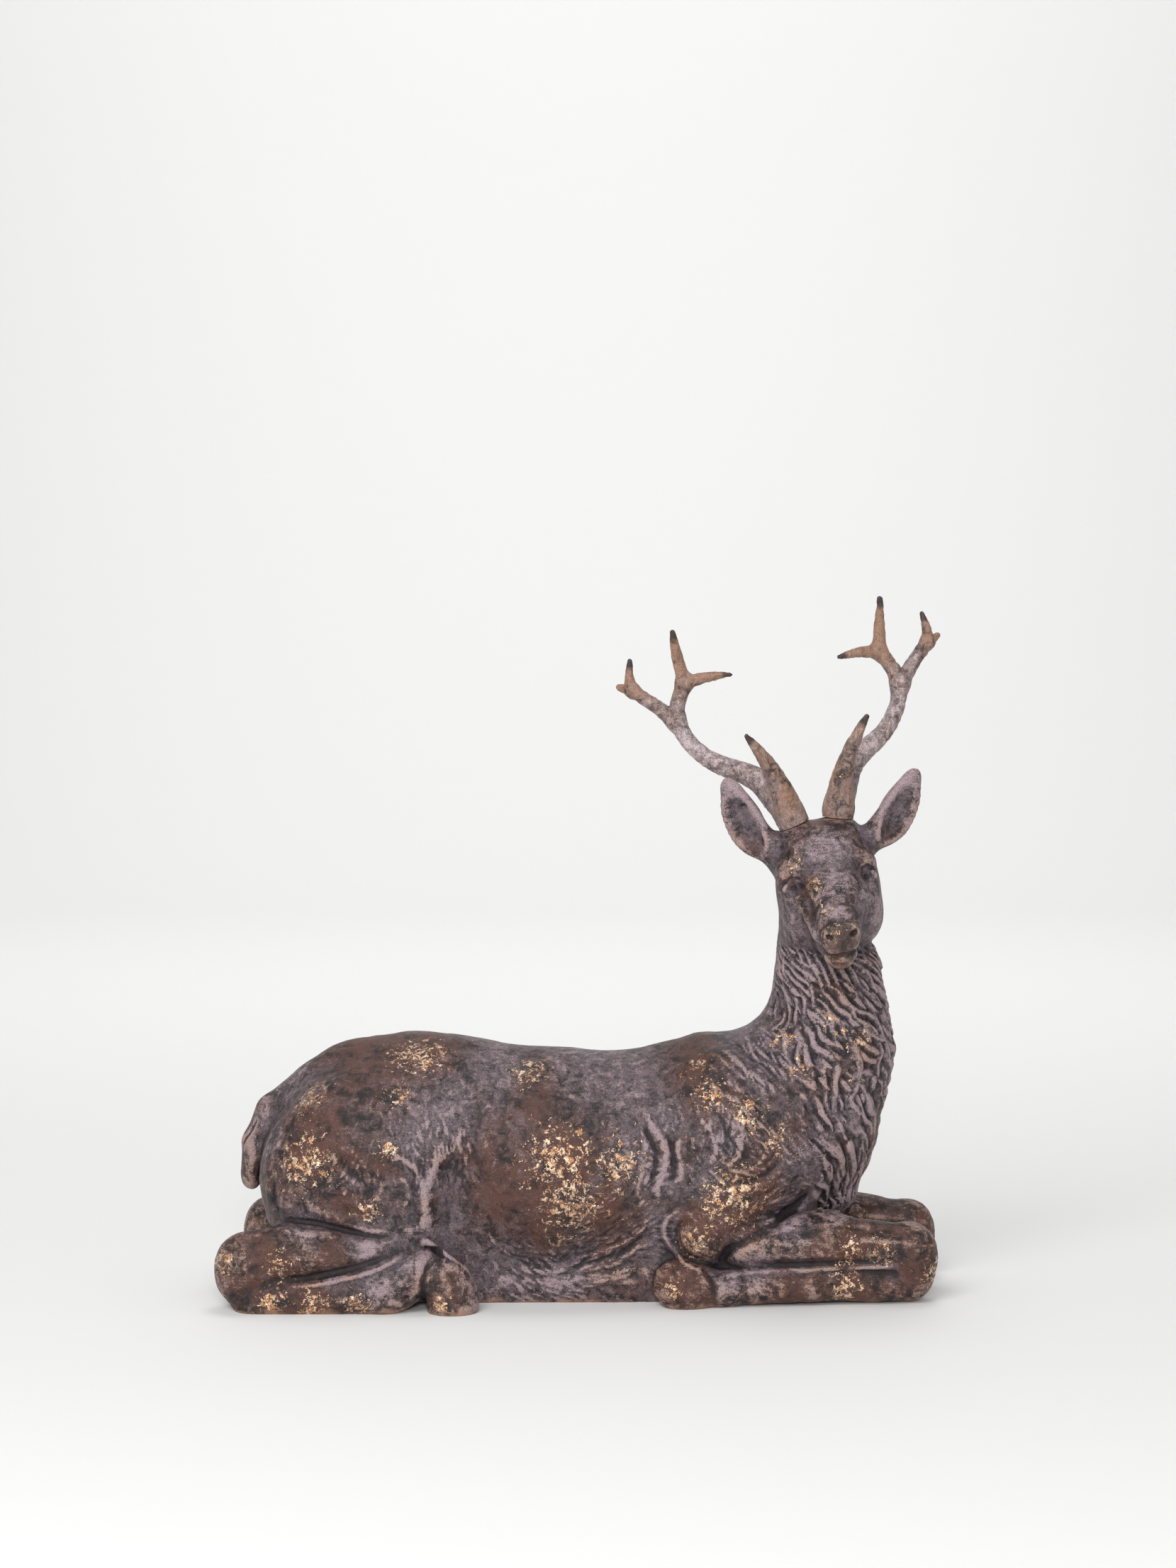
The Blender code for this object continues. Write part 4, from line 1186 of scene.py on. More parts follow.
def felt_spots(places, spots):
    """1 at the middle of any of the spots, fading to 0 beyond its radius."""
    felt = np.zeros(len(places))
    for *spot, radius in spots:
        apart = ((places - spot) ** 2).sum(axis=1)
        felt = np.maximum(felt, np.exp(-apart / (VEIL_REACH * radius) ** 2))
    return felt


def tone_of(points):
    """Below nil where the wash is rubbed back to umber, above it where a lilac-grey veil was left."""
    x, y, z = points.T
    flat = np.column_stack([x - lead_of_left(y, z), z])
    tone = (felt_spots(flat, VEILED) - felt_spots(flat, RUBBED)) * (z < HEAD_FOOT)
    local = (points - np.array(head_frame().translation)) @ np.array(head_frame().to_3x3())
    tone += FACE_VEIL * felt_spots(local, FACE_VEILED) - felt_spots(local, FACE_RUBBED)
    tone += mane_mask(points) * uneven(points, middle=0.55, swing=0.8, size=13.0, seed=61)
    return np.clip(tone, -1.0, 1.5)


store(stag_mesh, "tone", tone_of(points_of(stag_mesh)))
print("tone spots:", len(VEILED) + len(RUBBED) + len(FACE_VEILED) + len(FACE_RUBBED))

# %% [markdown]
# ## Where the gold leaf is
# The gold isn't even: it lies in loose clusters on the barrel, the shoulder, the rump, the knees and
# the bridge of the nose, as where leaf was patted on and rubbed back. Each cluster is a soft spot
# with a place and a radius, on both flanks, and the shader later breaks it into flakes.

# %% Spots of gold leaf
# Each cluster: x, y, z and radius, on the right side
GOLD_SPOTS = {
    "belly_bright": (-12, -48, 64, 18), "belly_low": (-7, -46, 44, 17), "belly_right": (14, -44, 60, 13),
    "belly_foot": (-13, -44, 27, 8), "rump_top": (-117, -32, 88, 11), "rump_front": (-77, -38, 88, 7),
    "thigh": (-115, -42, 61, 14), "thigh_front": (-82, -46, 67, 6), "loin": (-70, -20, 102, 14),
    "back": (-25, -25, 98, 11), "thigh_low": (-90, -46, 42, 7), "blade_one": (51, -38, 89, 9),
    "blade_two": (66, -38, 80, 10), "blade_three": (78, -36, 68, 9), "withers": (44, -30, 102, 9),
    "arm": (59, -42, 46, 16), "elbow": (43, -44, 27, 10), "forearm": (107, -36, 24, 9),
    "forearm_end": (121, -36, 23, 8), "fore_shin": (107, -36, 9, 9), "knee": (141, -30, 14, 8),
    "hock": (-149, -48, 21, 7), "hind_shin_a": (-129, -52, 6, 8), "hind_shin_b": (-112, -54, 4, 8),
    "hind_shin_c": (-94, -54, 5, 7), "gaskin": (-125, -50, 20, 8), "mane_a": (82, -22, 110, 8),
    "mane_b": (99, -28, 119, 7), "mane_c": (107, -28, 113, 5), "mane_d": (114, -26, 109, 7),
    "mane_e": (101, -32, 106, 4), "mane_f": (88, -30, 99, 6), "mane_g": (110, -30, 94, 5),
    "mane_h": (117, -26, 92, 4), "mane_i": (108, -32, 83, 4), "forehead": (84, -26, 192, 4),
    "brow": (84, -24, 184, 5), "bridge_a": (93, -34, 174, 6), "bridge_b": (97, -44, 165, 5),
    "nose": (101, -54, 158, 4), "crown": (95, -20, 199, 4), "hind_hoof": (-60, -56, 5, 6),
    "fore_hoof": (33, -46, 8, 6),
}
GOLD_REACH = 1.7
BOTH_SIDES_TOP = 140.0  # below this the left side has the same clusters as the right one


def gold_density(points):
    """How thick the gold leaf lies at each point, from 0 to 1."""
    x, y, z = points.T
    right = np.column_stack([x, np.where(z < BOTH_SIDES_TOP, -np.abs(y), y), z])
    density = np.zeros(len(points))
    for *spot, radius in GOLD_SPOTS.values():
        apart = ((right - spot) ** 2).sum(axis=1)
        density = np.maximum(density, np.exp(-apart / (GOLD_REACH * radius**2)))
    return density


store(stag_mesh, "gold", gold_density(points_of(stag_mesh)))
print("gold clusters:", len(GOLD_SPOTS))

# %% [markdown]
# ## The dark nose
# The nose pad was left darker than the face. One soft ball round it is enough of a mask, since the
# shader breaks its edge. Painting it by hand on the points would look the same, but no number in the
# script would say where it is.

# %% Mask of the dark nose
NOSE_PAD = (-2.4, -46.0, -20.6)
NOSE_RADIUS = 8.0
NOSE_DARKNESS = 0.6

nose_place = np.array(head_frame() @ Vector(NOSE_PAD))
from_nose = np.linalg.norm(points_of(stag_mesh) - nose_place, axis=1)
store(stag_mesh, "dark", NOSE_DARKNESS * eased((NOSE_RADIUS - from_nose) / 1.5))
print("points of the dark nose:", int((from_nose < NOSE_RADIUS).sum()))

# %% [markdown]
# ## Lighten the mesh and stand it on the ground
# The even skin spends as many faces on the smooth flank as on an eyelid. The Decimate modifier
# joins faces where the form is plain and keeps them where it is fine, and it carries the masks
# along. The underside is then cut flat, since the real casting stands on a flat base.

# %% Thin, cut and scale
STAG_TRIANGLES = 194000


def thinned(mesh, triangles):
    """The mesh as about that many triangles, the most where the form is finest."""
    faces = sum(len(face.vertices) - 2 for face in mesh.polygons)
    return evaluated(mesh, "DECIMATE", ratio=min(1.0, triangles / faces), use_collapse_triangulate=True)


def cut_flat(mesh, point, normal):
    """Cuts away what lies below the plane, and closes the cut with one flat face."""
    solid = bmesh.new()
    solid.from_mesh(mesh)
    everything = solid.verts[:] + solid.edges[:] + solid.faces[:]
    cut = bmesh.ops.bisect_plane(solid, geom=everything, dist=1e-4, plane_co=point,
                                 plane_no=normal, clear_inner=True)
    rim = [item for item in cut["geom_cut"] if isinstance(item, bmesh.types.BMEdge)]
    bmesh.ops.triangle_fill(solid, edges=rim, normal=-Vector(normal), use_beauty=True)
    bmesh.ops.recalc_face_normals(solid, faces=solid.faces)
    solid.to_mesh(mesh)
    solid.free()
    mesh.update()


stag_mesh = thinned(stag_mesh, STAG_TRIANGLES)
cut_flat(stag_mesh, (0, 0, 0), (0, 0, 1))
masks = [item.name for item in stag_mesh.attributes if item.data_type == "FLOAT"]
print("stag:", len(stag_mesh.polygons), "faces, masks:", masks)

# %% [markdown]
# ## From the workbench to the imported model
# The clay was measured in sculptor's units round a place of its own. The finished skin is scaled to
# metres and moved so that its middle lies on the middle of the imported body, and it is pressed in
# where it would stand past that box. An object's scale could do this, but a mesh in true size is
# safer to measure and to export.

# %% Put the stag where its solid is
def sculpture_to_frame():
    """From sculptor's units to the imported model's frame: scaled, and centred as the solid is."""
    points = points_of(stag_mesh) * UNIT
    middle = (points.min(axis=0) + points.max(axis=0)) / 2
    low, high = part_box("stag_body")
    target = (np.array(low) + np.array(high)) / 2
    shift = Vector((target[0] - middle[0], target[1] - middle[1], 0.0))
    wide = (np.array(high) - np.array(low)) / (points.max(axis=0) - points.min(axis=0))
    fit = np.minimum(wide, 1.0)
    print("shift, mm:", [round(value / MM, 2) for value in shift], "fit:", wide.round(4))
    return Matrix.Translation(shift) @ Matrix.Diagonal((*(UNIT * fit), 1.0))


def add_piece(name, mesh, place, node):
    """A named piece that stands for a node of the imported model."""
    mesh.transform(place)
    mesh.name = name
    mesh.shade_smooth()
    piece = bpy.data.objects.new(name, mesh)
    bpy.context.scene.collection.objects.link(piece)
    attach(piece, "root")
    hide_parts(node)
    return piece


to_frame = sculpture_to_frame()
stag = add_piece("carved_stag", stag_mesh, to_frame, "stag_body")

# %% [markdown]
# ## The antlers
# Each antler is cast on its own and glued to its seat. It is a chain of tapering rolls: a beam that
# sweeps out and up, a brow tine, and a crown that forks twice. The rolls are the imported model's. A
# curve with a bevel would taper as well, but its branches would not run into each other.

# %% Lay out the tines
# Each run: its points and how thick the antler is there, in the seat's frame for the left antler
ANTLER_RUNS = {
    "brow_tine": [((-0.8, 0, -3), ANTLER_BASE), ((1.0, -1, 5), 6.3), ((2.8, -2.5, 14), 4.9),
                  ((7, -6, 25), 3.5), ((11.5, -9.5, 33.5), 2.5), ((16.4, -12, 41), 1.1)],
    "beam": [((1.2, 1, 5), 6.2), ((5, 5, 12), 5.8), ((10, 9, 20), 5.1), ((17, 13, 25.2), 4.5),
             ((24.5, 16, 29.2), 4.0), ((31, 18.5, 34.6), 3.6), ((36, 21, 42), 3.4), ((38.8, 23, 50), 3.6)],
    "inner_branch": [((38.8, 23, 50), 3.8), ((37, 24.5, 57), 3.2), ((32.5, 26, 65.4), 3.4)],
    "upper_tine": [((32.5, 26, 65.4), 3.0), ((34.2, 24, 77), 2.3), ((35.2, 20, 87.5), 1.2)],
    "inner_tine": [((32.5, 26, 65.4), 2.9), ((23.5, 22, 66.4), 2.2), ((13.6, 18, 66.0), 1.0)],
    "outer_branch": [((38.8, 23, 50), 3.8), ((46, 27, 57.5), 3.0), ((54.4, 30, 65.5), 2.8)],
    "outer_tine": [((54.4, 30, 65.5), 2.5), ((55.0, 29, 71.5), 2.0), ((53.8, 28, 78.2), 1.0)],
    "outer_tip": [((54.4, 30, 65.5), 2.5), ((59.8, 32, 67.8), 1.3)],
}
ANTLER_YAW = {-1: math.radians(4.5), 1: math.radians(2.0)}
FORK_BLEND = 2.2
CHAIN_BLEND = 0.3


def antler_frame(side):
    """Where the antler stands on its seat; side is 1 for the left one."""
    place = Matrix.Translation((side * SEAT_CENTRE[0], *SEAT_CENTRE[1:]))
    turn = Matrix.Rotation(ANTLER_YAW[side], 4, "Z")
    return head_frame() @ place @ turn @ Matrix.Scale(side, 4, (1, 0, 0))


def antler_clay(side):
    """Each run is a smooth chain of rolls; only its first roll is blended into the run before."""
    rolls = []
    for run in ANTLER_RUNS.values():
        fine = smooth_run([(*spot, radius) for spot, radius in run], 3)
        for step, (start, end) in enumerate(zip(fine, fine[1:])):
            blend = CHAIN_BLEND if step else FORK_BLEND
            rolls.append(Limb(start[:3], end[:3], start[3], end[3], blend=blend))
    return placed(rolls, antler_frame(side))


print("rolls in an antler:", len(antler_clay(1)))

# %% [markdown]
# ## Pits and furrows of the antlers
# Antler has long furrows and small pits, and the casting keeps them. Both are the soft lumps of
# before: stretched along the tines they make furrows, and where only their peaks are kept they make
# pits. A displacement modifier with a texture would give the same, but it would blur on thin tips.

# %% Pits and furrows
PIT_DEPTH = 0.35
FURROW_DEPTH = 0.22
SWELL_HEIGHT = 0.08


def antler_relief(points):
    furrows = lumps(points * (1.0, 1.0, 0.3), 1.2, 21) * FURROW_DEPTH
    pitted = eased((lumps(points, 3.4, 22) - 0.5) / 0.3) * PIT_DEPTH
    return furrows + SWELL_HEIGHT * lumps(points, 6.0, 23) - pitted


print("pits and furrows, mm:", PIT_DEPTH, FURROW_DEPTH)

# %% [markdown]
# ## Where the antlers are dark and light
# The beams kept a lilac veil, the brow tines stayed brown and the crowns were brushed tan, with
# nearly black tips. Each run of rolls therefore has a tone and a darkness of its own, and they fade
# into each other by how near a point is to each run. A gradient up the antler would be shorter, but
# brow tine and beam are equally high.

# %% Tone and darkness along the runs
# Tone, from rubbed to veiled, and darkness; the other runs have CROWN_PAINT
RUN_PAINT = {"brow_tine": (-0.2, 0.28), "beam": (1.0, 0.05),
             "inner_branch": (0.3, 0.1), "outer_branch": (0.3, 0.1)}
CROWN_PAINT = (-1.0, 0.0)
RUN_FADE = 1.6
TIP_LENGTH = 6.0
TIP_FADE = 4.0
TIP_DARKNESS = 0.85


def paint_by_run(mesh, side):
    """Tone and darkness of the paint, each run of the antler with its own, faded into the next."""
    place = antler_frame(side)
    points = points_of(mesh)
    total, tone, dark = np.zeros(len(points)), np.zeros(len(points)), np.zeros(len(points))
    for name, run in ANTLER_RUNS.items():
        gap = np.full(len(points), 1e9)
        for start, end in zip(run, run[1:]):
            roll = Limb(place @ Vector(start[0]), place @ Vector(end[0]), 0.0, 0.0)
            gap = np.minimum(gap, roll.distance(points))
        felt = np.exp(-gap / RUN_FADE)
        run_tone, run_dark = RUN_PAINT.get(name, CROWN_PAINT)
        total += felt
        tone += felt * run_tone
        dark += felt * run_dark
    return tone / total, dark / total


def dark_tips(mesh, side):
    """How dark the paint is near the tips of the tines; 0 further down."""
    place = antler_frame(side)
    gap = np.full(len(mesh.vertices), 1e9)
    for name, run in ANTLER_RUNS.items():
        if name.endswith("tine"):
            end = np.array(place @ Vector(run[-1][0]))
            gap = np.minimum(gap, np.linalg.norm(points_of(mesh) - end, axis=1))
    return TIP_DARKNESS * eased((TIP_LENGTH - gap) / TIP_FADE)


def store_antler_paint(mesh, side):
    points = points_of(mesh)
    store(mesh, "gold", 0.25 + 0.35 * eased(lumps(points, 9.0, 31)))
    tone, dark = paint_by_run(mesh, side)
    patches = lumps(points, 7.0, 33)
    store(mesh, "tone", tone + 0.5 * patches)
    dark = np.maximum(dark + 0.5 * dark * patches, dark_tips(mesh, side))
    store(mesh, "dark", np.clip(dark, 0.0, 1.0))


print("runs with a paint of their own:", ", ".join(RUN_PAINT))

# %% [markdown]
# ## Skin the antlers and seat them
# An antler goes the same way as the body: remeshed, settled and measured for the painter. Its foot
# is then cut square, a little above the seat in the skull, where glue holds the real one.

# %% Make both antlers
ANTLER_VOXEL = 0.45
SEAT_GAP = 0.3


def make_antler(side, name, node):
    mesh = skin(antler_clay(side), ANTLER_VOXEL, antler_relief)
    store_relief_masks(mesh, ANTLER_VOXEL)
    store_antler_paint(mesh, side)
    seat = seat_frame(side)
    seat_up = seat.to_3x3().col[2]
    cut_flat(mesh, seat.translation + seat_up * SEAT_GAP, seat_up)
    print(name, "faces:", len(mesh.polygons))
    return add_piece(name, mesh, to_frame, node)


antlers = [make_antler(-1, "fine_antler_right", "antler_right"),
           make_antler(1, "fine_antler_left", "antler_left")]

# %% [markdown]
# ## Shader tools
# The finish is layers of paint, and both materials use the same layers with other values. A layer
# that is shared is a node group with named inputs and outputs, built once. Drawing the nodes by hand
# would work, but these helpers make groups and nodes in one line each, so that what a layer does
# stays in view.

# %% Helpers for nodes
def new_group(name, inputs, outputs):
    """A shader group; inputs are (name, kind, value), outputs are (name, kind)."""
    tree = bpy.data.node_groups.new(name, "ShaderNodeTree")
    for label, kind, value in inputs:
        socket = tree.interface.new_socket(label, in_out="INPUT", socket_type="NodeSocket" + kind)
        if value is not None:
            socket.default_value = value
    for label, kind in outputs:
        tree.interface.new_socket(label, in_out="OUTPUT", socket_type="NodeSocket" + kind)
    return tree, tree.nodes.new("NodeGroupInput").outputs, tree.nodes.new("NodeGroupOutput").inputs


def fill(tree, node, values):
    """Sets or links a node's inputs, by name or number."""
    for key, value in values.items():
        if isinstance(value, bpy.types.NodeSocket):
            tree.links.new(value, node.inputs[key])
        else:
            node.inputs[key].default_value = value
    return node


def add_noise(tree, vector, scale, detail=3.0, roughness=0.55, warp=0.0):
    node = tree.nodes.new("ShaderNodeTexNoise")
    fill(tree, node, {"Vector": vector, "Scale": scale, "Detail": detail, "Roughness": roughness,
                      "Distortion": warp})
    return node.outputs["Fac"]


def add_math(tree, kind, first, second=0.5, third=0.5):
    node = tree.nodes.new("ShaderNodeMath")
    node.operation = kind
    return fill(tree, node, {0: first, 1: second, 2: third}).outputs[0]


def add_sum(tree, start, *parts):
    """The start value plus each (value, weight) of the parts."""
    for value, weight in parts:
        start = add_math(tree, "MULTIPLY_ADD", value, weight, start)
    return start


def add_ramp(tree, value, low, high):
    """0 below low, 1 above high and a smooth slope between."""
    node = tree.nodes.new("ShaderNodeMapRange")
    node.interpolation_type = "SMOOTHSTEP"
    return fill(tree, node, {"Value": value, "From Min": low, "From Max": high}).outputs[0]


def add_mix(tree, share, under, over):
    node = tree.nodes.new("ShaderNodeMix")
    node.data_type = "RGBA"
    return fill(tree, node, {0: share, 6: under, 7: over}).outputs[2]


def add_coat(tree, mask, opacity, under, over):
    """A coat of paint over another where the mask is, letting some of it through."""
    return add_mix(tree, add_math(tree, "MULTIPLY", mask, opacity), under, over)


def add_stretch(tree, vector, stretch):
    node = tree.nodes.new("ShaderNodeVectorMath")
    node.operation = "MULTIPLY"
    return fill(tree, node, {0: vector, 1: stretch}).outputs[0]


def add_bright(tree, colour, times):
    """The colour made brighter or darker by a number of times."""
    node = tree.nodes.new("ShaderNodeVectorMath")
    node.operation = "SCALE"
    return fill(tree, node, {"Vector": colour, "Scale": times}).outputs[0]


def use_group(tree, group, values):
    node = tree.nodes.new("ShaderNodeGroup")
    node.node_tree = group
    return fill(tree, node, values).outputs


print("groups so far:", len(bpy.data.node_groups))

# %% [markdown]
# ## Stippled cover
# Paint that is dabbed or dragged over a rough casting doesn't fade smoothly: it is there or not,
# grain by grain. So one group answers one question, whether a layer covers this spot. It compares a
# grainy noise with how much of the layer is wanted. Long flat streaks in the noise are the brush's.
# A painted picture of the grains would be sharper, but it would need an unwrapped skin.

# %% Group: stippled cover
STREAK_SHAPE = (0.12, 0.12, 2.4)


def stippled_cover_group():
    tree, given, made = new_group(
        "stippled_cover",
        [("Vector", "Vector", None), ("Amount", "Float", 0.5), ("Grain", "Float", 1.6),
         ("Streaks", "Float", 0.3), ("Edge", "Float", 0.06)],
        [("Mask", "Float"), ("Grain height", "Float")])
    fine = add_noise(tree, given["Vector"], given["Grain"], 3.0, 0.75)
    medium = add_noise(tree, given["Vector"], 0.42, 4.0, 0.65, 0.4)
    streak = add_noise(tree, add_stretch(tree, given["Vector"], STREAK_SHAPE), 1.0, 2.0, 0.6)
    # The grain, and the streaks that are added to it
    spread = add_sum(tree, 0.0, (medium, 0.45), (fine, 0.55))
    grain = add_sum(tree, spread, (add_math(tree, "SUBTRACT", streak, 0.5), given["Streaks"]))
    # The more is wanted, the lower the grain may be and still be covered
    needed = add_sum(tree, 0.72, (given["Amount"], -0.44))
    over = add_math(tree, "DIVIDE", add_math(tree, "SUBTRACT", grain, needed), given["Edge"])
    tree.links.new(add_ramp(tree, over, -1.0, 1.0), made["Mask"])
    tree.links.new(grain, made["Grain height"])
    return tree


cover_group = stippled_cover_group()
print("group:", cover_group.name, "with", len(cover_group.nodes), "nodes")

# %% [markdown]
# ## Layer one: the washed and dry-brushed ground
# The painter put dark umber over everything, let a thin lilac-grey wash settle in the valleys, and
# dragged a nearly dry brush of pinkish tan over the crests. The masks say how much of each layer a
# place gets, and the stippled cover turns that into grains of paint. One colour ramp from hollow to
# crest would be simpler, but no layer would then lie over another.

# %% Group: layered paint
WASH_COVER = {"Grain": 1.9, "Streaks": 0.20, "Edge": 0.20}
BRUSH_COVER = {"Grain": 1.9, "Streaks": 0.20, "Edge": 0.12}
MIRRORED = (1.0, 1.0, -1.0)  # so that the brush's grains aren't the wash's


def umber_paint(tree, given, clouds):
    """Umber, nearly black in places and reddish in others."""
    patches = add_noise(tree, given["Vector"], 0.07, 3.0, 0.6, 0.5)
    warm = add_sum(tree, 0.0, (clouds, 0.6), (patches, 0.6), (given["Tone"], -0.10))
    dark = add_mix(tree, add_ramp(tree, clouds, 0.38, 0.54), given["Shadow paint"], given["Ground"])
    return add_mix(tree, add_ramp(tree, warm, 0.50, 0.74), dark, given["Warm ground"])


def wash_over(tree, given, cloudy, colour):
    """A thin uneven lilac wash, thicker in the valleys; also returns its grain."""
    wanted = add_sum(tree, given["Wash amount"], (given["Tone"], 0.30), (given["Form crest"], -0.24),
                     (given["Broad crest"], -0.12), (cloudy, 1.6))
    washed = use_group(tree, cover_group, {"Vector": given["Vector"], **WASH_COVER, "Amount": wanted})
    brightness = add_sum(tree, -0.2, (add_noise(tree, given["Vector"], 0.9, 4.0, 0.75), 2.4))
    thin_wash = add_bright(tree, given["Wash"], brightness)
    return add_coat(tree, washed["Mask"], 0.90, colour, thin_wash), washed["Grain height"]


def brush_over(tree, given, cloudy, colour):
    """Dry brush on the crests, pinkish tan on umber and paler lilac on the wash."""
    wanted = add_sum(tree, given["Brush amount"], (given["Fine crest"], 0.62), (given["Broad crest"], 0.34),
                     (given["Tone"], 0.24), (cloudy, 1.3))
    moved = add_stretch(tree, given["Vector"], MIRRORED)
    brushed = use_group(tree, cover_group, {"Vector": moved, **BRUSH_COVER, "Amount": wanted})
    lilac = add_mix(tree, 0.75, given["Dry brush"], add_bright(tree, given["Wash"], 2.3))
    brush = add_mix(tree, add_ramp(tree, given["Tone"], -0.2, 0.8), given["Dry brush"], lilac)
    return add_coat(tree, brushed["Mask"], 0.80, colour, brush)


def shadow_over(tree, given, colour):
    """Shadow paint in the tight creases and in the pits of the grain."""
    crease = add_sum(tree, 0.0, (given["Fine crest"], -1.0), (given["Broad crest"], -0.35))
    colour = add_coat(tree, add_ramp(tree, crease, 0.15, 0.9), 0.85, colour, given["Shadow paint"])
    grain = add_noise(tree, given["Vector"], 2.4, 2.0, 0.6)
    return add_coat(tree, add_ramp(tree, grain, 0.50, 0.32), 0.75, colour, given["Shadow paint"])


def layered_paint_group():
    tree, given, made = new_group(
        "layered_paint",
        [("Vector", "Vector", None), ("Fine crest", "Float", 0.0), ("Broad crest", "Float", 0.0),
         ("Form crest", "Float", 0.0), ("Tone", "Float", 0.0),
         ("Shadow paint", "Color", (0.012, 0.009, 0.01, 1)), ("Ground", "Color", (0.05, 0.03, 0.025, 1)),
         ("Warm ground", "Color", (0.12, 0.05, 0.03, 1)), ("Wash", "Color", (0.3, 0.26, 0.3, 1)),
         ("Dry brush", "Color", (0.6, 0.42, 0.35, 1)), ("Wash amount", "Float", 0.3),
         ("Brush amount", "Float", 0.2)],
        [("Color", "Color"), ("Grain", "Float")])
    clouds = add_noise(tree, given["Vector"], 0.22, 5.0, 0.7, 0.6)
    cloudy = add_math(tree, "SUBTRACT", clouds, 0.5)
    colour = umber_paint(tree, given, clouds)
    colour, grain = wash_over(tree, given, cloudy, colour)
    colour = brush_over(tree, given, cloudy, colour)
    colour = shadow_over(tree, given, colour)
    tree.links.new(colour, made["Color"])
    tree.links.new(grain, made["Grain"])
    return tree


paint_group = layered_paint_group()
print("group:", paint_group.name, "with", len(paint_group.nodes), "nodes")

# %% [markdown]
# ## Layer two: gold leaf
# Rubbed leaf breaks into flakes about a millimetre across. A noise gives the flakes their ragged
# shapes, and how thick the leaf lies at a place sets how much of the noise is let through: a few
# crumbs where it is thin, ragged islands where it is thick. Cells of a Voronoi texture would also
# make flakes, but all of one size.

# %% Group: rubbed gold leaf
def gold_leaf_group():
    tree, given, made = new_group(
        "rubbed_gold_leaf",
        [("Vector", "Vector", None), ("Density", "Float", 0.0),
         ("Deep gold", "Color", (0.62, 0.32, 0.16, 1)), ("Pale gold", "Color", (1.0, 0.78, 0.58, 1))],
        [("Mask", "Float"), ("Color", "Color")])
    flakes = add_noise(tree, given["Vector"], 0.36, 6.0, 0.74, 0.5)
    crumbs = add_noise(tree, given["Vector"], 1.5, 3.0, 0.7)
    ragged = add_sum(tree, 0.0, (flakes, 0.80), (crumbs, 0.35))
    needed = add_sum(tree, 0.785, (given["Density"], -0.225))
    mask = add_ramp(tree, add_math(tree, "SUBTRACT", ragged, needed), 0.0, 0.02)
    shade = add_ramp(tree, add_noise(tree, given["Vector"], 0.5, 2.0), 0.35, 0.65)
    tree.links.new(mask, made["Mask"])
    tree.links.new(add_mix(tree, shade, given["Deep gold"], given["Pale gold"]), made["Color"])
    return tree


leaf_group = gold_leaf_group()
print("group:", leaf_group.name, "with", len(leaf_group.nodes), "nodes")

# %% [markdown]
# ## The painted material
# The material joins the two layers. Gold leaf is metal, so where a flake lies Metallic goes to one
# and Roughness drops; the paint round it stays satin. A bump raises the flakes, the grit and the
# brush marks by hundredths of a millimetre. Worn edges near the ground show the tan resin. Two
# shaders could be mixed instead, but one shader with masks is what an exported model can keep.

# %% Build a painted material
# The worn edge, in metres: how high it reaches, how soft it is, and how ragged
BARE_EDGE = 0.0012
BARE_FROM, BARE_TO = BARE_EDGE - 0.001, BARE_EDGE + 0.0018
BARE_RAGGED = 0.012
BARE_SHIFT = 0.005
BARE_RESIN = (0.36, 0.20, 0.13, 1)
DARK_UMBER = (0.050, 0.031, 0.027, 1)
BUMP_HEIGHT = 0.0008


def read_mask(tree, name):
    node = tree.nodes.new("ShaderNodeAttribute")
    node.attribute_name = name
    return node.outputs["Fac"]


def worn_foot(tree, place):
    """1 along the bottom edge, where handling has worn the paint."""
    height = tree.nodes.new("ShaderNodeSeparateXYZ")
    tree.links.new(place, height.inputs[0])
    ragged = add_sum(tree, height.outputs["Z"], (add_noise(tree, place, 90.0, 4.0, 0.65), BARE_RAGGED))
    ragged = add_math(tree, "SUBTRACT", ragged, BARE_SHIFT)
    return add_math(tree, "SUBTRACT", 1.0, add_ramp(tree, ragged, BARE_FROM, BARE_TO))


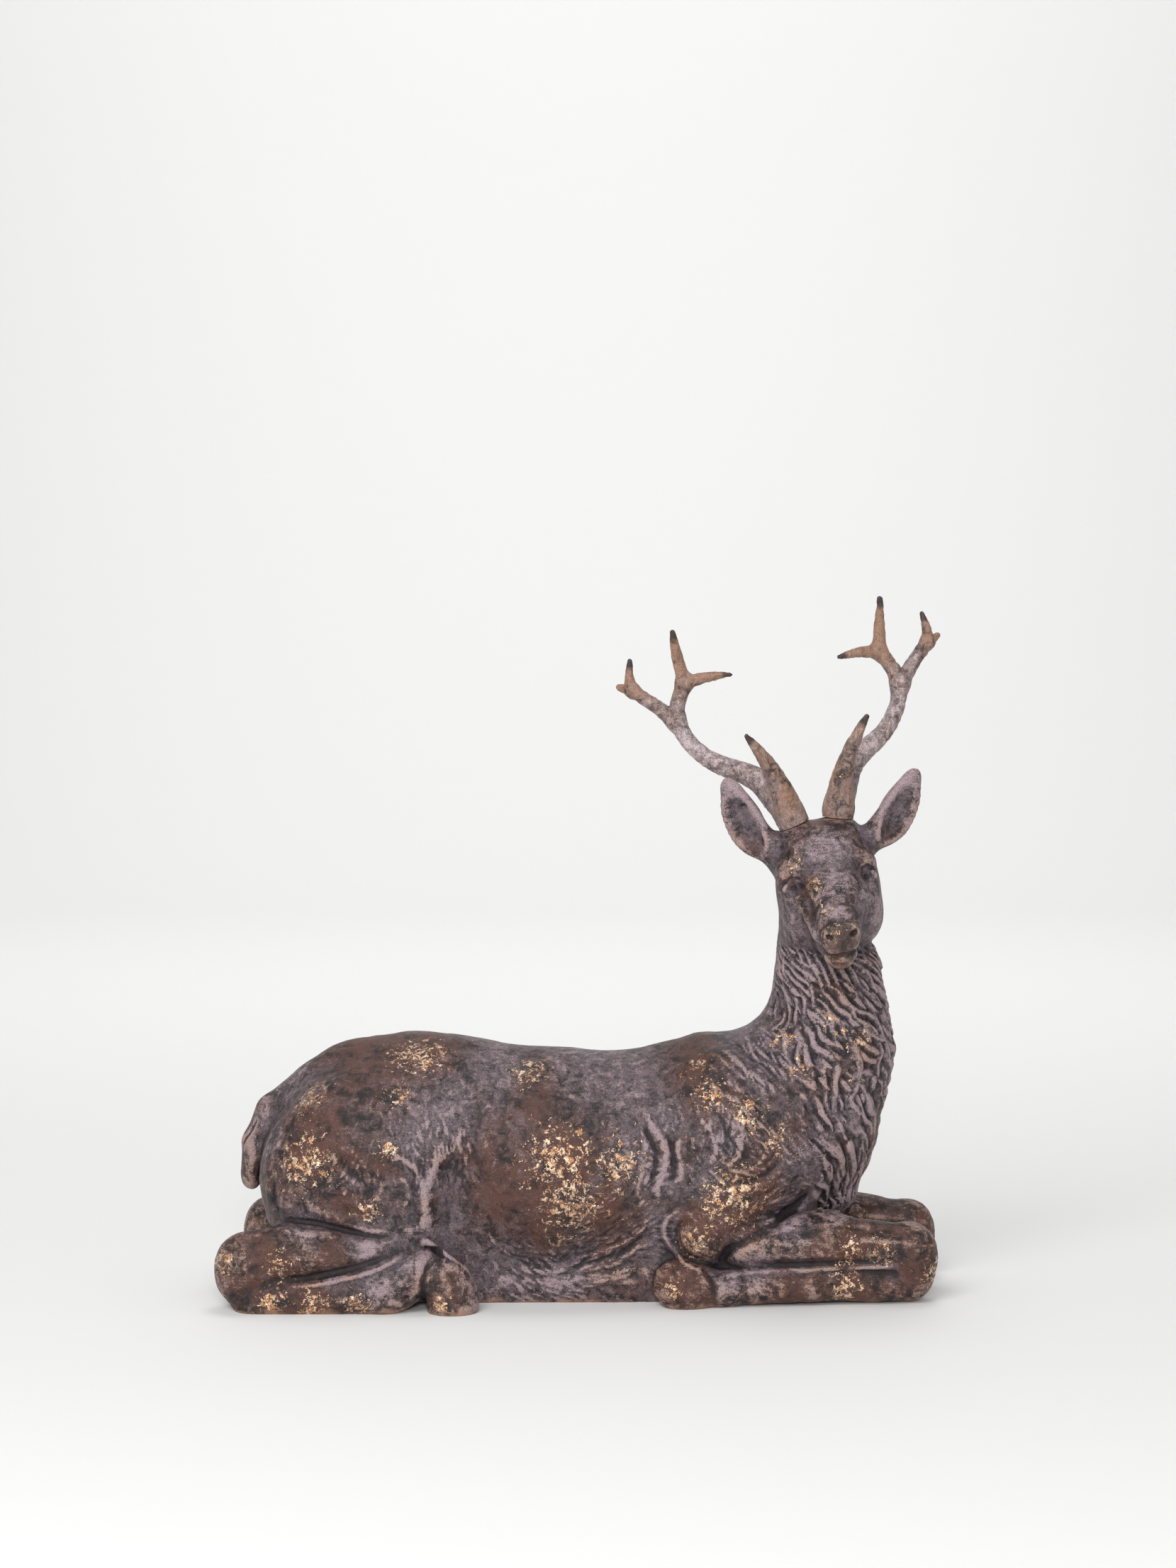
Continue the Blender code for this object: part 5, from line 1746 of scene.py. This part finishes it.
def painted_material(name, colours, wash_amount, brush_amount, bare):
    """Paint in the given colours, with gold leaf; bare is how far its foot is worn, from 0 to 1."""
    material = bpy.data.materials.new(name)
    material.use_nodes = True
    tree = material.node_tree
    place = tree.nodes.new("ShaderNodeTexCoord").outputs["Object"]
    millimetres = add_stretch(tree, place, (1.0 / MM,) * 3)
    paint = use_group(tree, paint_group, {
        "Vector": millimetres, "Fine crest": read_mask(tree, "fine_crest"),
        "Broad crest": read_mask(tree, "broad_crest"), "Form crest": read_mask(tree, "form_crest"),
        "Tone": read_mask(tree, "tone"), **colours, "Wash amount": wash_amount, "Brush amount": brush_amount})
    leaf = use_group(tree, leaf_group, {"Vector": millimetres, "Density": read_mask(tree, "gold")})
    # The dark places have a mottled edge
    dark = add_sum(tree, read_mask(tree, "dark"), (add_noise(tree, millimetres, 0.5, 4.0, 0.7), 0.9))
    dark = add_ramp(tree, dark, 0.65, 1.35)
    colour = add_coat(tree, worn_foot(tree, place), bare, paint["Color"], BARE_RESIN)
    colour = add_mix(tree, dark, colour, DARK_UMBER)
    colour = add_mix(tree, leaf["Mask"], colour, leaf["Color"])
    rough = add_sum(tree, 0.20, (paint["Grain"], 0.5), (dark, -0.3), (leaf["Mask"], -0.18))
    height = add_sum(tree, paint["Grain"], (leaf["Mask"], 0.35))
    bump = fill(tree, tree.nodes.new("ShaderNodeBump"),
                {"Strength": 0.8, "Distance": BUMP_HEIGHT, "Height": height})
    fill(tree, tree.nodes["Principled BSDF"], {
        "Base Color": colour, "Roughness": rough, "Metallic": leaf["Mask"],
        "Normal": bump.outputs["Normal"], "Specular IOR Level": 0.42})
    return material


print("the foot is worn up to, mm:", BARE_TO / MM)

# %% [markdown]
# ## The two paints
# Body and antlers have the same layers in other colours: the body is dark umber that its wash only
# half covers, and the antlers are a lighter brown with little dry brush. The colours are linear
# values, which look darker written down than they do on the object.

# %% Mix the paints and give them to the pieces
STAG_COLOURS = {
    "Shadow paint": (0.010, 0.007, 0.008, 1), "Ground": (0.050, 0.027, 0.023, 1),
    "Warm ground": (0.110, 0.044, 0.030, 1), "Wash": (0.192, 0.148, 0.170, 1),
    "Dry brush": (0.520, 0.350, 0.285, 1)}
ANTLER_COLOURS = {
    "Shadow paint": (0.050, 0.033, 0.028, 1), "Ground": (0.265, 0.150, 0.104, 1),
    "Warm ground": (0.380, 0.215, 0.140, 1), "Wash": (0.330, 0.275, 0.290, 1),
    "Dry brush": (0.600, 0.430, 0.340, 1)}

bronze_paint = painted_material(
    "antique_bronze_paint", STAG_COLOURS, wash_amount=0.38, brush_amount=0.04, bare=0.8)
antler_paint = painted_material(
    "antler_paint", ANTLER_COLOURS, wash_amount=0.66, brush_amount=-0.26, bare=0.0)
stag.data.materials.append(bronze_paint)
for antler in antlers:
    antler.data.materials.append(antler_paint)
print("materials:", bronze_paint.name, antler_paint.name)

# %% [markdown]
# ## The paper's surface
# Backdrop paper is matt and a little off white, so that the picture's white doesn't burn out. A pure
# white would hide the soft shadow under the figure.

# %% Paper for the sweep
PAPER_COLOUR = (0.86, 0.86, 0.855, 1)
PAPER_ROUGHNESS = 0.8

paper_look = bpy.data.materials.new("pale_paper")
paper_look.use_nodes = True
paper_shader = paper_look.node_tree.nodes["Principled BSDF"]
paper_shader.inputs["Base Color"].default_value = PAPER_COLOUR
paper_shader.inputs["Roughness"].default_value = PAPER_ROUGHNESS
paper.data.materials.append(paper_look)
print("paper:", paper_look.name)
